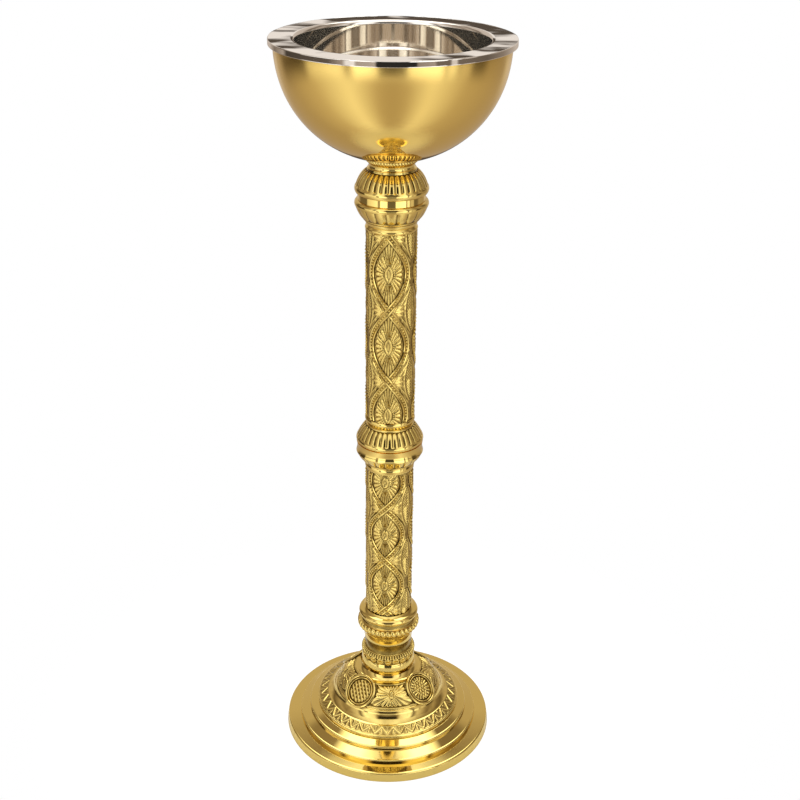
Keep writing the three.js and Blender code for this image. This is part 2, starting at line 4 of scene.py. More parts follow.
import bmesh
import bpy
import numpy as np
from bpy.props import FloatProperty, FloatVectorProperty, IntProperty, PointerProperty
from mathutils import Matrix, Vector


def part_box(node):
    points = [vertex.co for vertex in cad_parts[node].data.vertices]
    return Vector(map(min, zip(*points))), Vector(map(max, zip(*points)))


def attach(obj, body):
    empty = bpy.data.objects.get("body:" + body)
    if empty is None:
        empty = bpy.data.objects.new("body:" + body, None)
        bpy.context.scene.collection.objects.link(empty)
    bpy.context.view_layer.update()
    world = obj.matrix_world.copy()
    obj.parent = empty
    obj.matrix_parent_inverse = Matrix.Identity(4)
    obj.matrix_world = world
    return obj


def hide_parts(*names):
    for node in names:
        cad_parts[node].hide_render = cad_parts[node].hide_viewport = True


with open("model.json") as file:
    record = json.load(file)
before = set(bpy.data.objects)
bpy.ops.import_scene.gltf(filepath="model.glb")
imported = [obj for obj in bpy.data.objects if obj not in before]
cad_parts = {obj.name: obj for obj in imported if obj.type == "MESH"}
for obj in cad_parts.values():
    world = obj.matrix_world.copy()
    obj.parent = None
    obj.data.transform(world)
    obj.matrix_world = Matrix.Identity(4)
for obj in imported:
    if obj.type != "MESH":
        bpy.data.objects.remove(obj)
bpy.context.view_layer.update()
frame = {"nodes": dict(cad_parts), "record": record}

bl_info = {
    "name": "Holy water stoup",
    "version": (1, 0, 0),
    "blender": (4, 5, 0),
    "location": "View3D > Sidebar > Stoup",
    "description": "Dresses a standing brass holy water stoup in chased, cast and spun metal",
    "category": "Object",
}

MM = 0.001
SLOTS = {row["node"]: row["material_slot"] for row in frame["record"]["subparts"]}
FRONT = -90.0
BORE = 27.0  # radius of the column castings' bore, in millimetres
OUTSIDE = 30.0  # relief lies only beyond this radius
RELIEF_STEP = 0.5  # distance between rows that carry relief
RELIEF_EDGE = 60.0  # angle beyond which an edge of a relief stays sharp
COLUMN_STEPS = 192  # steps round a smooth column piece
WELD = 2e-6  # points closer than this, in metres, are one point

# Outlines in millimetres from the axis and the floor, read upwards on the outside and down again inside.
# A third number bows a run outwards, or hollows it when negative.
PLINTH = [
    (149.6, 0.6), (148.2, 10.6), (145.4, 13.6, 0.85), (129.7, 14.4), (129.3, 19.0), (126.9, 21.2, 0.75),
    (115.7, 26.4), (115.3, 31.2), (112.9, 33.4, 0.75), (104.4, 37.2), (90.4, 37.2), (90.4, 35.0), (103.9, 35.0),
    (112.2, 31.2), (113.2, 30.0), (113.2, 24.9), (125.9, 18.9), (127.2, 17.6), (127.2, 12.0), (144.3, 12.0),
    (145.5, 11.0), (147.2, 0.6),
]
FELT = [(144.6, 0.0), (144.6, 1.6), (144.0, 2.0, 0.15), (123.2, 2.0), (122.6, 1.6, 0.15), (122.6, 0.0)]
DOME_SKIRT = [(103.4, 37.5), (103.4, 40.5), (101.6, 42.3, 0.53)]
DOME_BAND = (87.6, 49.2)
DOME_COVE = [(76.6, 62.6, -2.0), (74.7, 64.5)]
DOME_TOP = (47.5, 91.5)
DOME_SWELL = 4.0
DOME_INSIDE = [
    (26.8, 91.5), (26.8, 88.5), (46.0, 88.5), (72.0, 63.2), (73.4, 61.0), (84.8, 47.5), (100.2, 39.8), (101.2, 37.5),
]
BASE_COLLAR = [(47.5, 91.8), (37.0, 98.5, -2.2), (37.0, 116.5, 1.4), (27.0, 116.5), (27.0, 91.8)]
SPOOL_BAND = [(35.8, 116.8), (36.4, 121.5, 0.3), (37.6, 126.4), (37.7, 127.4, 0.1), (34.6, 131.6, 0.5)]
SPOOL_WALL = [(34.6, 131.6), (33.7, 132.2), (34.3, 148.0)]
LOWER_CUP = [(34.4, 148.3), (36.2, 158.5, -0.2), (42.4, 168.7, -0.5), (27.0, 168.7), (27.0, 148.3)]
GADROON_RING = [(42.2, 169.0), (42.0, 178.6, 0.4), (39.4, 180.0, -0.3), (39.4, 186.7)]
SOCKET = [
    (40.8, 187.0), (40.8, 194.0, 1.4), (39.6, 195.2), (33.7, 198.8, -0.4), (33.0, 198.8), (33.0, 191.8),
    (27.0, 191.8), (27.0, 187.0),
]
MID_LOWER_COLLAR = [(32.6, 426.3), (32.6, 434.5, 0.9), (27.0, 434.5), (27.0, 426.3)]
MID_CUP = [(33.5, 434.8), (36.3, 437.0), (45.0, 450.7, 0.6)]
MID_RING = [(45.3, 451.0), (44.8, 465.8, -1.1), (27.0, 465.8), (27.0, 451.0)]
MID_BEAD = [(43.7, 466.1), (43.7, 474.7, 1.6)]
MID_DOME = [(43.7, 474.7), (31.0, 493.0, 1.2)]
MID_UPPER_COLLAR = [(31.0, 493.3), (32.6, 497.2), (32.6, 503.6, 0.9), (27.0, 503.6), (27.0, 493.3)]
UPPER_COLLAR = [(32.6, 764.5), (32.6, 768.9, 0.9), (31.5, 770.6), (33.5, 775.5, 0.3), (27.0, 775.5), (27.0, 764.5)]
UPPER_CUP = [(33.5, 775.8), (36.3, 778.0), (46.2, 795.5, 1.0), (45.0, 802.2, 1.1)]
UPPER_BAND = [(42.7, 802.5), (42.7, 811.6), (27.0, 811.6), (27.0, 802.5)]
UPPER_BEAD = [(45.0, 811.9), (45.0, 821.7, 1.7)]
UPPER_DOME = [(45.0, 821.7), (31.0, 842.0, 2.1)]
NECK = [(30.6, 842.3), (30.6, 843.2), (29.4, 843.9, 0.2), (30.2, 850.4, -0.9)]
NECK_LIP = [(30.2, 850.4), (33.4, 853.6, 0.4), (33.2, 855.6)]
NECK_SEAT = [(20.0, 853.0), (7.0, 853.0), (7.0, 842.3)]
BOWL_DEPTH = 145.9
BOWL_FULLNESS = 2.148  # 2 is an ellipse, and more is fuller
BOWL_WALL = 2.0
BOWL_FLAT = 18.0  # radius of the flat round the rod's hole
ROD_HOLE = 7.0
LINER = [
    (0.0, 920.5), (113.2, 920.5), (118.2, 925.5, 1.46), (118.2, 993.0), (123.7, 998.5, -1.6), (145.5, 998.5),
    (145.5, 993.4), (146.0, 993.0, 0.1), (148.0, 993.0), (148.5, 993.5, 0.15), (148.5, 999.4), (147.9, 1000.0, 0.18),
    (121.2, 1000.0), (116.7, 995.5, 1.3), (116.7, 924.5), (114.2, 922.0, -0.7), (0.0, 922.0),
]
# Section of a ribbon, across it and above the tube's ground, and outline of a medallion about its own axis.
RIBBON = [
    (4.1, -0.8), (4.05, 0.5), (3.05, 1.0), (2.05, 0.5), (1.95, -0.1), (0.0, -0.3), (-1.95, -0.1), (-2.05, 0.5),
    (-3.05, 1.0), (-4.05, 0.5), (-4.1, -0.8),
]
MEDALLION = [
    (0.0, -5.0), (24.6, -5.0), (24.8, -1.2), (24.2, 0.1, 0.3), (21.2, 0.1, 0.7), (20.7, -1.3, -0.1), (20.1, -1.3),
    (19.7, 0.2, 0.15), (18.3, 0.2, 0.4), (17.8, -1.3, -0.1), (0.0, -0.9),
]

# The tubes: node, bearing of a column of ovals, height of a crossing, distance between crossings, heights of the
# flowers, and whether their hearts are pointed.
TUBES = (
    ("upper_tube", FRONT - 5.0, 663.2, 98.6, (712.5, 613.9, 515.3), True),
    ("lower_tube", FRONT - 10.0, 373.0, 82.5, (414.2, 331.7, 249.2), False),
)
TUBE_INSIDE = 30.0
RIBBON_FOOT = 199.5  # the ribbons start above the lower tube's socket
RIBBON_CLEAR = (4.0, 4.6)  # distances from a ribbon's middle over which the relief beside it rises
OVAL_STRETCH = 1.62  # a tube's flowers are this much taller than wide
PALM_SPREAD = 24.0  # degrees between the leaves of a palmette

# Ornament of the base dome.
BAND_RADIUS = 94.6  # middle of the sloped band
FLOWER_BEARING = FRONT + 5.0
FLOWER_HEART = 0.58  # where a flower's petals meet, as a share of the slope's height
PETAL_END = 25.2  # petals stop this far from a medallion's middle
MEDALLION_SEAT = 24.2  # the dome is sunk within this distance of a medallion's middle

# Brightness of the studio walls at eye level, by the bearing from the camera's side in degrees to the right.
WALLS = [
    (-180, 0.60), (-152, 0.70), (-146, 0.45), (-140, 0.50), (-127, 0.10), (-92, 0.06), (-88, 0.95), (-49, 1.5),
    (-46, 0.22), (-40, 0.22), (-37, 2.2), (-12, 1.8), (12, 1.8), (49, 2.2), (50, 0.16), (53, 0.16), (55, 1.6),
    (63, 1.2), (65, 0.3), (70, 0.8), (79, 0.7), (82, 0.06), (96, 0.10), (105, 0.40), (135, 0.38), (145, 0.70),
    (152, 0.65), (180, 0.60),
]
# Brightness of the low rail, of the low sweep, of the upper walls and of the ceiling, by the same bearings.
RAIL = [
    (-180, 0.55), (-150, 0.55), (-136, 0.20), (-118, 0.40), (-112, 0.05), (-60, 0.10), (-46, 0.35), (-42, 0.90),
    (-35, 0.90), (-33, 0.42), (-16, 0.46), (-14, 0.005), (21, 0.005), (23, 0.28), (38, 0.38), (40, 0.15), (53, 0.15),
    (55, 0.70), (59, 0.70), (61, 0.16), (94, 0.12), (120, 0.25), (150, 0.55), (180, 0.55),
]
SWEEP = [
    (-180, 0.44), (-120, 0.46), (-85, 0.62), (-45, 1.08), (-15, 0.54), (0, 0.48), (15, 0.54), (40, 1.0), (80, 0.56),
    (120, 0.46), (180, 0.44),
]
UPPER = [
    (-180, 0.60), (-135, 0.56), (-125, 0.16), (-105, 0.46), (-95, 0.30), (-80, 0.42), (-62, 0.85), (-55, 0.18),
    (-45, 1.5), (-26, 1.1), (-20, 0.35), (0, 0.50), (20, 0.35), (26, 1.1), (45, 1.5), (52, 0.18), (60, 0.80),
    (76, 0.40), (86, 0.24), (98, 0.44), (112, 0.22), (122, 0.16), (135, 0.52), (180, 0.60),
]
CEILING = [
    (-180, 0.28), (-119, 0.30), (-90, 0.45), (-60, 1.0), (-30, 1.3), (0, 0.95), (30, 1.25), (60, 0.9), (90, 0.35),
    (119, 0.24), (180, 0.28),
]
# Brightness of the sill behind the piece, by the height of the light's way.
SILL = [(-1.0, 0.08), (0.165, 0.08), (0.185, 0.85), (1.0, 0.85)]
# Darkness of the slot at the camera's side, by the height of the light's way.
SLOT = [
    (-1.0, 0.0), (-0.40, 0.0), (-0.34, 0.97), (-0.06, 0.97), (0.0, 0.45), (0.26, 0.45), (0.31, 0.97), (0.60, 0.97),
    (0.65, 0.0),
]
# Tones of the dark slot, of the soft box overhead and of the plain ground.
SLOT_TONE = (0.02, 0.018, 0.015, 1.0)
SOFT_BOX = (2.7, 2.7, 2.65, 1.0)
WHITE = (1.0, 1.0, 1.0, 1.0)
FLOOR_RADIUS = 0.55
FLOOR_FADE = (0.2, 0.54)  # distances from the axis over which the floor fades out


class StoupSizes(bpy.types.PropertyGroup):
    """Sizes of the ornament."""

    tube_radius: FloatProperty(
        name="Tube ground", description="Radius of the ground between the chased ribbons of a tube",
        default=0.0317, min=0.01, unit="LENGTH", subtype="DISTANCE")
    ribbon_sway: FloatProperty(
        name="Ribbon sway", description="How far a beaded ribbon swings to either side of its column",
        default=0.0252, min=0.005, unit="LENGTH", subtype="DISTANCE")
    bead_pitch: FloatProperty(
        name="Bead pitch", description="Distance between the beads of a ribbon",
        default=0.0044, min=0.001, unit="LENGTH", subtype="DISTANCE")
    columns: IntProperty(
        name="Columns", description="Columns of interlaced ovals round a tube", default=3, min=1, max=6)
    tongues: IntProperty(
        name="Tongues", description="Tongues round the dome of a knop", default=32, min=8, max=64)
    cup_lobes: IntProperty(
        name="Cup lobes", description="Lobes round the cup of a knop", default=20, min=6, max=48)
    gadroons: IntProperty(
        name="Gadroons", description="Lobes round the gadroon ring of the lower knop", default=36, min=8, max=64)
    spool_leaves: IntProperty(
        name="Spool leaves", description="Leaves round the foot spool", default=20, min=6, max=48)
    lip_reeds: IntProperty(
        name="Lip reeds", description="Reeds round the lip under the bowl", default=48, min=8, max=80)
    zigzags: IntProperty(
        name="Zigzags", description="Repeats of the zigzag round the sloped band of the base",
        default=34, min=6, max=48)
    flower_petals: IntProperty(
        name="Flower petals", description="Petals of each flower between the medallions", default=20, min=8, max=32)
    medallion_reach: FloatProperty(
        name="Medallion reach", description="Distance of a medallion's centre from the axis",
        default=0.0625, min=0.03, unit="LENGTH", subtype="DISTANCE")
    medallion_height: FloatProperty(
        name="Medallion height", description="Height of a medallion's centre above the floor",
        default=0.0797, min=0.03, unit="LENGTH", subtype="DISTANCE")
    medallion_lean: FloatProperty(
        name="Medallion lean", description="Slope of a medallion's face",
        default=math.radians(45), unit="ROTATION", subtype="ANGLE")


class StoupFinish(bpy.types.PropertyGroup):
    """Colours of the metals and the felt, and of the painted shade in the brass hollows."""

    brass: FloatVectorProperty(
        name="Brass", description="Polished and lacquered brass", subtype="COLOR", default=(0.90, 0.685, 0.21))
    # Painted shade: the dark colour that the finish blends into the low parts of the relief.
    brass_hollow_shade: FloatVectorProperty(
        name="Brass hollow shade", description="Painted shade, darker, in the hollows of the relief", subtype="COLOR",
        default=(0.12, 0.07, 0.01))
    satin: FloatVectorProperty(
        name="Satin brass", description="Spun and satin polished brass of the bowl", subtype="COLOR",
        default=(0.90, 0.655, 0.195))
    nickel: FloatVectorProperty(
        name="Nickel", description="Bright plating of the liner", subtype="COLOR", default=(0.92, 0.885, 0.82))
    steel: FloatVectorProperty(
        name="Zinc", description="Zinc plating of the tie rod, nuts and washers", subtype="COLOR",
        default=(0.56, 0.57, 0.58))
    iron: FloatVectorProperty(
        name="Iron", description="Plain grey ballast casting", subtype="COLOR", default=(0.045, 0.045, 0.047))
    felt: FloatVectorProperty(
        name="Felt", description="Pressed wool felt under the base", subtype="COLOR", default=(0.022, 0.034, 0.018))


class StoupStage(bpy.types.PropertyGroup):
    """Place of the camera and tone of the floor."""

    distance: FloatProperty(
        name="Distance", description="Distance of the camera from the axis", default=1.59395, unit="LENGTH",
        subtype="DISTANCE")
    height: FloatProperty(
        name="Height", description="Height of the camera above the floor", default=1.28244, unit="LENGTH",
        subtype="DISTANCE")
    tilt: FloatProperty(
        name="Tilt", description="How far the camera looks down", default=math.radians(25.4425), unit="ROTATION",
        subtype="ANGLE")
    roll: FloatProperty(
        name="Roll", description="Lean of the camera", default=math.radians(0.45), unit="ROTATION", subtype="ANGLE")
    lens: FloatProperty(name="Lens", description="Focal length in millimetres", default=59.37, min=10)
    side_shift: FloatProperty(name="Side shift", description="Sideways shift of the frame", default=0.0124)
    floor: FloatVectorProperty(
        name="Floor", description="Pale studio floor", subtype="COLOR", default=(0.80, 0.80, 0.79))


def outline(points, step=None):
    """Rows of an outline, with bowed runs and runs that carry relief cut into short pieces."""
    rows = [np.array(points[0][:2], dtype=float)]
    for point in points[1:]:
        start, end = rows[-1], np.array(point[:2], dtype=float)
        bow = point[2] if len(point) > 2 else 0.0
        run = end - start
        length = math.hypot(*run)
        side = np.array((run[1], -run[0])) / length
        pieces = math.ceil(length / step) if step else (10 if bow else 1)
        marks = [i / pieces for i in range(1, pieces + 1)]
        if not step and not bow and length > 3.0:
            marks = [0.4 / length, 1.0 - 0.4 / length, 1.0]
        for t in marks:
            rows.append(start + run * t + side * 4.0 * bow * t * (1.0 - t))
    return rows


def lengths(rows):
    """Distance of each row along its outline."""
    gaps = np.hypot(*np.diff(np.array(rows), axis=0).T)
    return np.concatenate(((0.0,), np.cumsum(gaps)))


def mesh_of(bm, name):
    """Hand over a finished bmesh as a mesh."""
    mesh = bpy.data.meshes.new(name)
    bm.to_mesh(mesh)
    bm.free()
    return mesh


def corners(mesh):
    """Places of a mesh's vertices, one row for each."""
    place = np.empty(len(mesh.vertices) * 3)
    mesh.vertices.foreach_get("co", place)
    return place.reshape(-1, 3)


def keep_relief(mesh, height):
    """Store the height of the relief at each vertex; the finish paints shade into the low parts by it."""
    tone = mesh.attributes.new("relief", "FLOAT", "POINT")
    tone.data.foreach_set("value", height.astype(np.float32))


def copies_round(bm, count):
    """Repeat what a bmesh holds until count copies stand round the upright axis."""
    geom = bm.verts[:] + bm.edges[:] + bm.faces[:]
    bmesh.ops.spin(
        bm, geom=geom, axis=(0, 0, 1), cent=(0, 0, 0), angle=math.tau - math.tau / count, steps=count - 1,
        use_duplicate=True)


def piece_of(mesh, sharp):
    """Smooth a mesh up to its sharp edges, and make it a piece of the same name."""
    mesh.shade_smooth()
    mesh.set_sharp_from_angle(angle=math.radians(sharp))
    return bpy.data.objects.new(mesh.name, mesh)


def turned(name, rows, steps, relief=None, sharp=40.0):
    """Spin a closed outline about the upright axis, then raise its relief along the outline's normals."""
    bm = bmesh.new()
    mark = bm.verts.layers.int.new("row")
    ring = []
    for i, (r, z) in enumerate(rows):
        vert = bm.verts.new((r * MM, 0.0, z * MM))
        vert[mark] = i
        ring.append(vert)
    for first, second in zip(ring, ring[1:] + ring[:1]):
        if first.co.x > 0.0 or second.co.x > 0.0:
            bm.edges.new((first, second))
    parts = max(n for n in range(1, int(math.sqrt(steps)) + 1) if steps % n == 0)
    geom = bm.verts[:] + bm.edges[:]
    bmesh.ops.spin(
        bm, geom=geom, axis=(0, 0, 1), cent=(0, 0, 0), angle=math.tau / parts, steps=steps // parts)
    copies_round(bm, parts)
    bmesh.ops.remove_doubles(bm, verts=bm.verts[:], dist=WELD)
    bmesh.ops.recalc_face_normals(bm, faces=bm.faces[:])
    mesh = mesh_of(bm, name)
    if relief:
        raise_relief(mesh, np.array(rows), relief)
    mesh.attributes.remove(mesh.attributes["row"])
    return piece_of(mesh, sharp)


def raise_relief(mesh, rows, relief):
    """Move the vertices of a turned mesh along its outline's normals, and keep the height for the painted shade in
    the hollows.
    """
    place = corners(mesh)
    row = np.empty(len(place), dtype=np.int32)
    mesh.attributes["row"].data.foreach_get("value", row)
    run = np.roll(rows, -1, axis=0) - np.roll(rows, 1, axis=0)
    normal = np.stack((run[:, 1], -run[:, 0]), axis=1) / np.hypot(run[:, 0], run[:, 1])[:, None]
    bearing = np.arctan2(place[:, 1], place[:, 0])
    height = relief(np.degrees(bearing), lengths(rows)[row], rows[row, 0], rows[row, 1])
    place[:, 0] += height * MM * normal[row, 0] * np.cos(bearing)
    place[:, 1] += height * MM * normal[row, 0] * np.sin(bearing)
    place[:, 2] += height * MM * normal[row, 1]
    mesh.vertices.foreach_set("co", place.ravel())
    most = np.zeros(len(rows))
    np.maximum.at(most, row, np.abs(height))
    # Rows without relief keep 1.0, so they take none of the painted shade.
    keep_relief(mesh, np.where(most[row] > 0.0, height, 1.0))
    mesh.update()


def ramp(x, low, high):
    """Smooth rise from 0 at low to 1 at high."""
    t = np.clip((x - low) / (high - low), 0.0, 1.0)
    return t * t * (3.0 - 2.0 * t)


def span(x, start, full, fade, end):
    """Smooth rise from start to full, and fall from fade to end."""
    return ramp(x, start, full) * (1.0 - ramp(x, fade, end))


def ridge(x, half):
    """Round-backed line along x = 0."""
    return np.exp(-(x / half) ** 2)


def crown(x):
    """Half-round section over -1 to 1."""
    return np.sqrt(np.clip(1.0 - x * x, 0.0, 1.0))


def leaf(along, across, start, end, half):
    """Pointed leaf with a sunken vein, from start to end."""
    t = np.clip((along - start) / (end - start), 0.0, 1.0)
    width = half * np.sin(math.pi * t ** 0.8) ** 0.8 + 1e-6
    body = crown(across / width) * (t > 0.0) * (t < 1.0)
    return body * (1.0 - 0.35 * ridge(across, 0.16 * half))


def fan(along, bearing, spread, most, start, end):
    """Fan of round-ended petals, spread degrees apart, up to most on each side of its middle."""
    pick = np.clip(np.round(bearing / spread), -most, most)
    across = np.radians(bearing - pick * spread) * along
    width = 0.45 * math.radians(spread) * along + 1e-6
    tip = 0.45 * math.radians(spread) * end
    beyond = np.clip(along - (end - tip), 0.0, None) / tip
    body = np.sqrt(np.clip(1.0 - (across / width) ** 2 - beyond ** 2, 0.0, 1.0))
    return body * ramp(along, start, start + 3.5) * (0.4 + 0.6 * along / end)


def repeat(bearing, count):
    """Place within one of count repeats round the axis, from -0.5 to 0.5."""
    turn = (bearing - FRONT) / 360.0 * count
    return turn - np.round(turn)


def tongued(count, start, end, pitch, depth):
    """Relief of convex tongues with round tips and sunken lines between them, from one height to another."""
    way = 1.0 if end > start else -1.0
    half = 0.47 * pitch

    def relief(bearing, along, r, z):
        up, low, high = way * z, way * start, way * end
        across = repeat(bearing, count) * pitch
        over = np.clip(up - (high - half), 0.0, None)
        edge = np.clip(1.0 - np.hypot(across, over) / half, 0.0, 1.0)
        body = np.sqrt(1.0 - (1.0 - edge) ** 2)
        zone = span(up, low, low + 0.8, high, high + 0.8)
        return depth * (body - 1.0) * zone * (r > OUTSIDE)

    return relief


def leafed(sizes):
    """Relief of the foot spool: a row of ribbed leaves, teeth on the shoulder and a smooth wall above them."""

    def relief(bearing, along, r, z):
        x = repeat(bearing, sizes.spool_leaves)
        up = z - 117.4
        wide = 0.48 * np.sqrt(np.clip(1.0 - ((up - 4.5) / 4.8) ** 2, 0.0, 1.0)) + 1e-6
        body = crown(x / wide) * (np.abs(x) < wide)
        swing = np.degrees(np.arctan2(x * 11.0, up + 1.5))
        ribs = 0.3 * np.cos(swing * math.tau / 17.0) * (np.abs(x) < wide)
        lobes = np.where(np.abs(x) < wide, 1.3 * body + ribs, -0.5)
        lobes = lobes * span(z, 116.9, 117.6, 125.8, 126.4)
        teeth = 1.9 * crown(repeat(bearing, sizes.spool_leaves * 3) / 0.42) - 0.8
        teeth = teeth * span(z, 126.6, 127.2, 131.0, 131.6)
        wall = -0.15 * ramp(z, 131.8, 132.4)
        return (np.where(z < 126.5, lobes, teeth) + wall) * (r > OUTSIDE)

    return relief


def gadrooned(sizes):
    """Relief of the gadroon ring: slanting lobes with a sunken recess above them."""

    def relief(bearing, along, r, z):
        x = repeat(bearing + (z - 173.0) * 0.35, sizes.gadroons)
        body = crown(np.hypot(x / 0.52, (z - 173.4) / 5.6)) ** 0.7
        lobe = (3.0 * body - 1.2) * span(z, 169.0, 169.4, 178.0, 178.6)
        return (lobe - 0.78 * ramp(z, 179.6, 180.4)) * (r > OUTSIDE)

    return relief


def reeded(sizes):
    """Relief of the slanting reeds round the lip under the bowl."""

    def relief(bearing, along, r, z):
        x = repeat(bearing + (z - 849.8) * 1.1, sizes.lip_reeds)
        return 0.9 * (crown(x / 0.48) - 1.0) * span(z, 850.4, 851.2, 855.0, 855.6) * (r > 29.0)

    return relief


def waves(bearing, along, r, z):
    """Relief of the slight waves in the liner's flange."""
    t = np.radians(bearing)
    tilt = np.sin(2.0 * t + 2.6) + 0.7 * np.sin(5.0 * t + 1.0) + 0.6 * np.sin(9.0 * t) + 0.4 * np.sin(17.0 * t + 0.5)
    return 0.22 * tilt * (r - 134.0) / 12.0 * (z > 999.9) * (r > 123.0)


def ribbon_sway(sizes, crossing, pitch, z, hand):
    """Sideways swing of a ribbon at a height, and its slope there."""
    most = hand * sizes.ribbon_sway / MM
    turn = math.pi * (z - crossing) / pitch
    return most * np.sin(turn), most * math.pi / pitch * np.cos(turn)


def laid_on_tube(sizes, front, u, z, lift):
    """Points of a tube's surface from the distance round it, the height and the lift above its ground."""
    ground = sizes.tube_radius / MM
    bearing = math.radians(front) + u / ground
    reach = ground + lift
    return np.stack((reach * np.cos(bearing), reach * np.sin(bearing), z), axis=1) * MM


def under_crossing(sizes, crossing, pitch, u, z):
    """Share of the lower ribbon's height that is left beside the ribbon that crosses over it."""
    sway, slope = ribbon_sway(sizes, crossing, pitch, z, 1.0)
    return ramp(np.abs(u - sway) / np.hypot(1.0, slope), 3.8, 5.4)


def ribbon_strip(sizes, front, crossing, pitch, low, high, hand):
    """One ribbon of a tube as a closed strip with two rails."""
    steps = round(high - low)
    bm = bmesh.new()
    ring = [bm.verts.new((d * MM, h * MM, 0.0)) for d, h in RIBBON]
    wires = [bm.edges.new(pair) for pair in zip(ring, ring[1:] + ring[:1])]
    rise = (high - low) / steps * MM
    bmesh.ops.spin(
        bm, geom=ring + wires, axis=(0, 0, 1), cent=(0, 0, 0), dvec=(0, 0, rise), angle=0.0, steps=steps)
    bmesh.ops.holes_fill(bm, edges=[edge for edge in bm.edges if edge.is_boundary])
    bmesh.ops.recalc_face_normals(bm, faces=bm.faces[:])
    mesh = mesh_of(bm, "ribbon_strip")
    across, lift, z = corners(mesh).T / MM
    z = z + low
    sway, slope = ribbon_sway(sizes, crossing, pitch, z, hand)
    lean = np.hypot(1.0, slope)
    u = sway - across / lean
    z = np.clip(z + across * slope / lean, low + 0.05, high - 0.05)
    if hand < 0.0:
        share = under_crossing(sizes, crossing, pitch, u, z)
        lift = lift * share - 1.3 * (1.0 - share)
    mesh.vertices.foreach_set("co", laid_on_tube(sizes, front, u, z, lift).ravel())
    return mesh


def ribbon_beads(sizes, front, crossing, pitch, low, high, hand):
    """Meshes of the beads between the rails of one ribbon, a few dozen beads in each."""
    fine = np.linspace(low + 1.6, high - 1.6, 2000)
    slope = ribbon_sway(sizes, crossing, pitch, fine, hand)[1]
    reach = np.cumsum(np.hypot(1.0, slope)) * (fine[1] - fine[0])
    z = np.interp(np.arange(0.5, reach[-1], sizes.bead_pitch / MM), reach, fine)
    u = ribbon_sway(sizes, crossing, pitch, z, hand)[0]
    if hand < 0.0:
        clear = under_crossing(sizes, crossing, pitch, u, z) > 0.8
        u, z = u[clear], z[clear]
    places = laid_on_tube(sizes, front, u, z, np.full(len(u), 0.5))
    for start in range(0, len(places), 24):
        bm = bmesh.new()
        for place in places[start:start + 24]:
            bmesh.ops.create_uvsphere(
                bm, u_segments=8, v_segments=4, radius=sizes.bead_pitch * 0.35, matrix=Matrix.Translation(place))
        yield mesh_of(bm, "ribbon_beads")


def beaded_ribbons(name, sizes, front, crossing, pitch, low, high):
    """Pairs of interlaced ribbons round a tube, each with two rails and a row of beads between them."""
    bm = bmesh.new()
    for hand in (1.0, -1.0):
        given = (sizes, front, crossing, pitch, low, high, hand)
        for part in (ribbon_strip(*given), *ribbon_beads(*given)):
            bm.from_mesh(part)
            bpy.data.meshes.remove(part)
    copies_round(bm, sizes.columns)
    bmesh.ops.recalc_face_normals(bm, faces=bm.faces[:])
    mesh = mesh_of(bm, name)
    place = corners(mesh)
    # Height above the tube's ground, so that the painted shade darkens the ribbons' beds.
    keep_relief(mesh, np.hypot(place[:, 0], place[:, 1]) / MM - sizes.tube_radius / MM)
    return piece_of(mesh, 48.0)


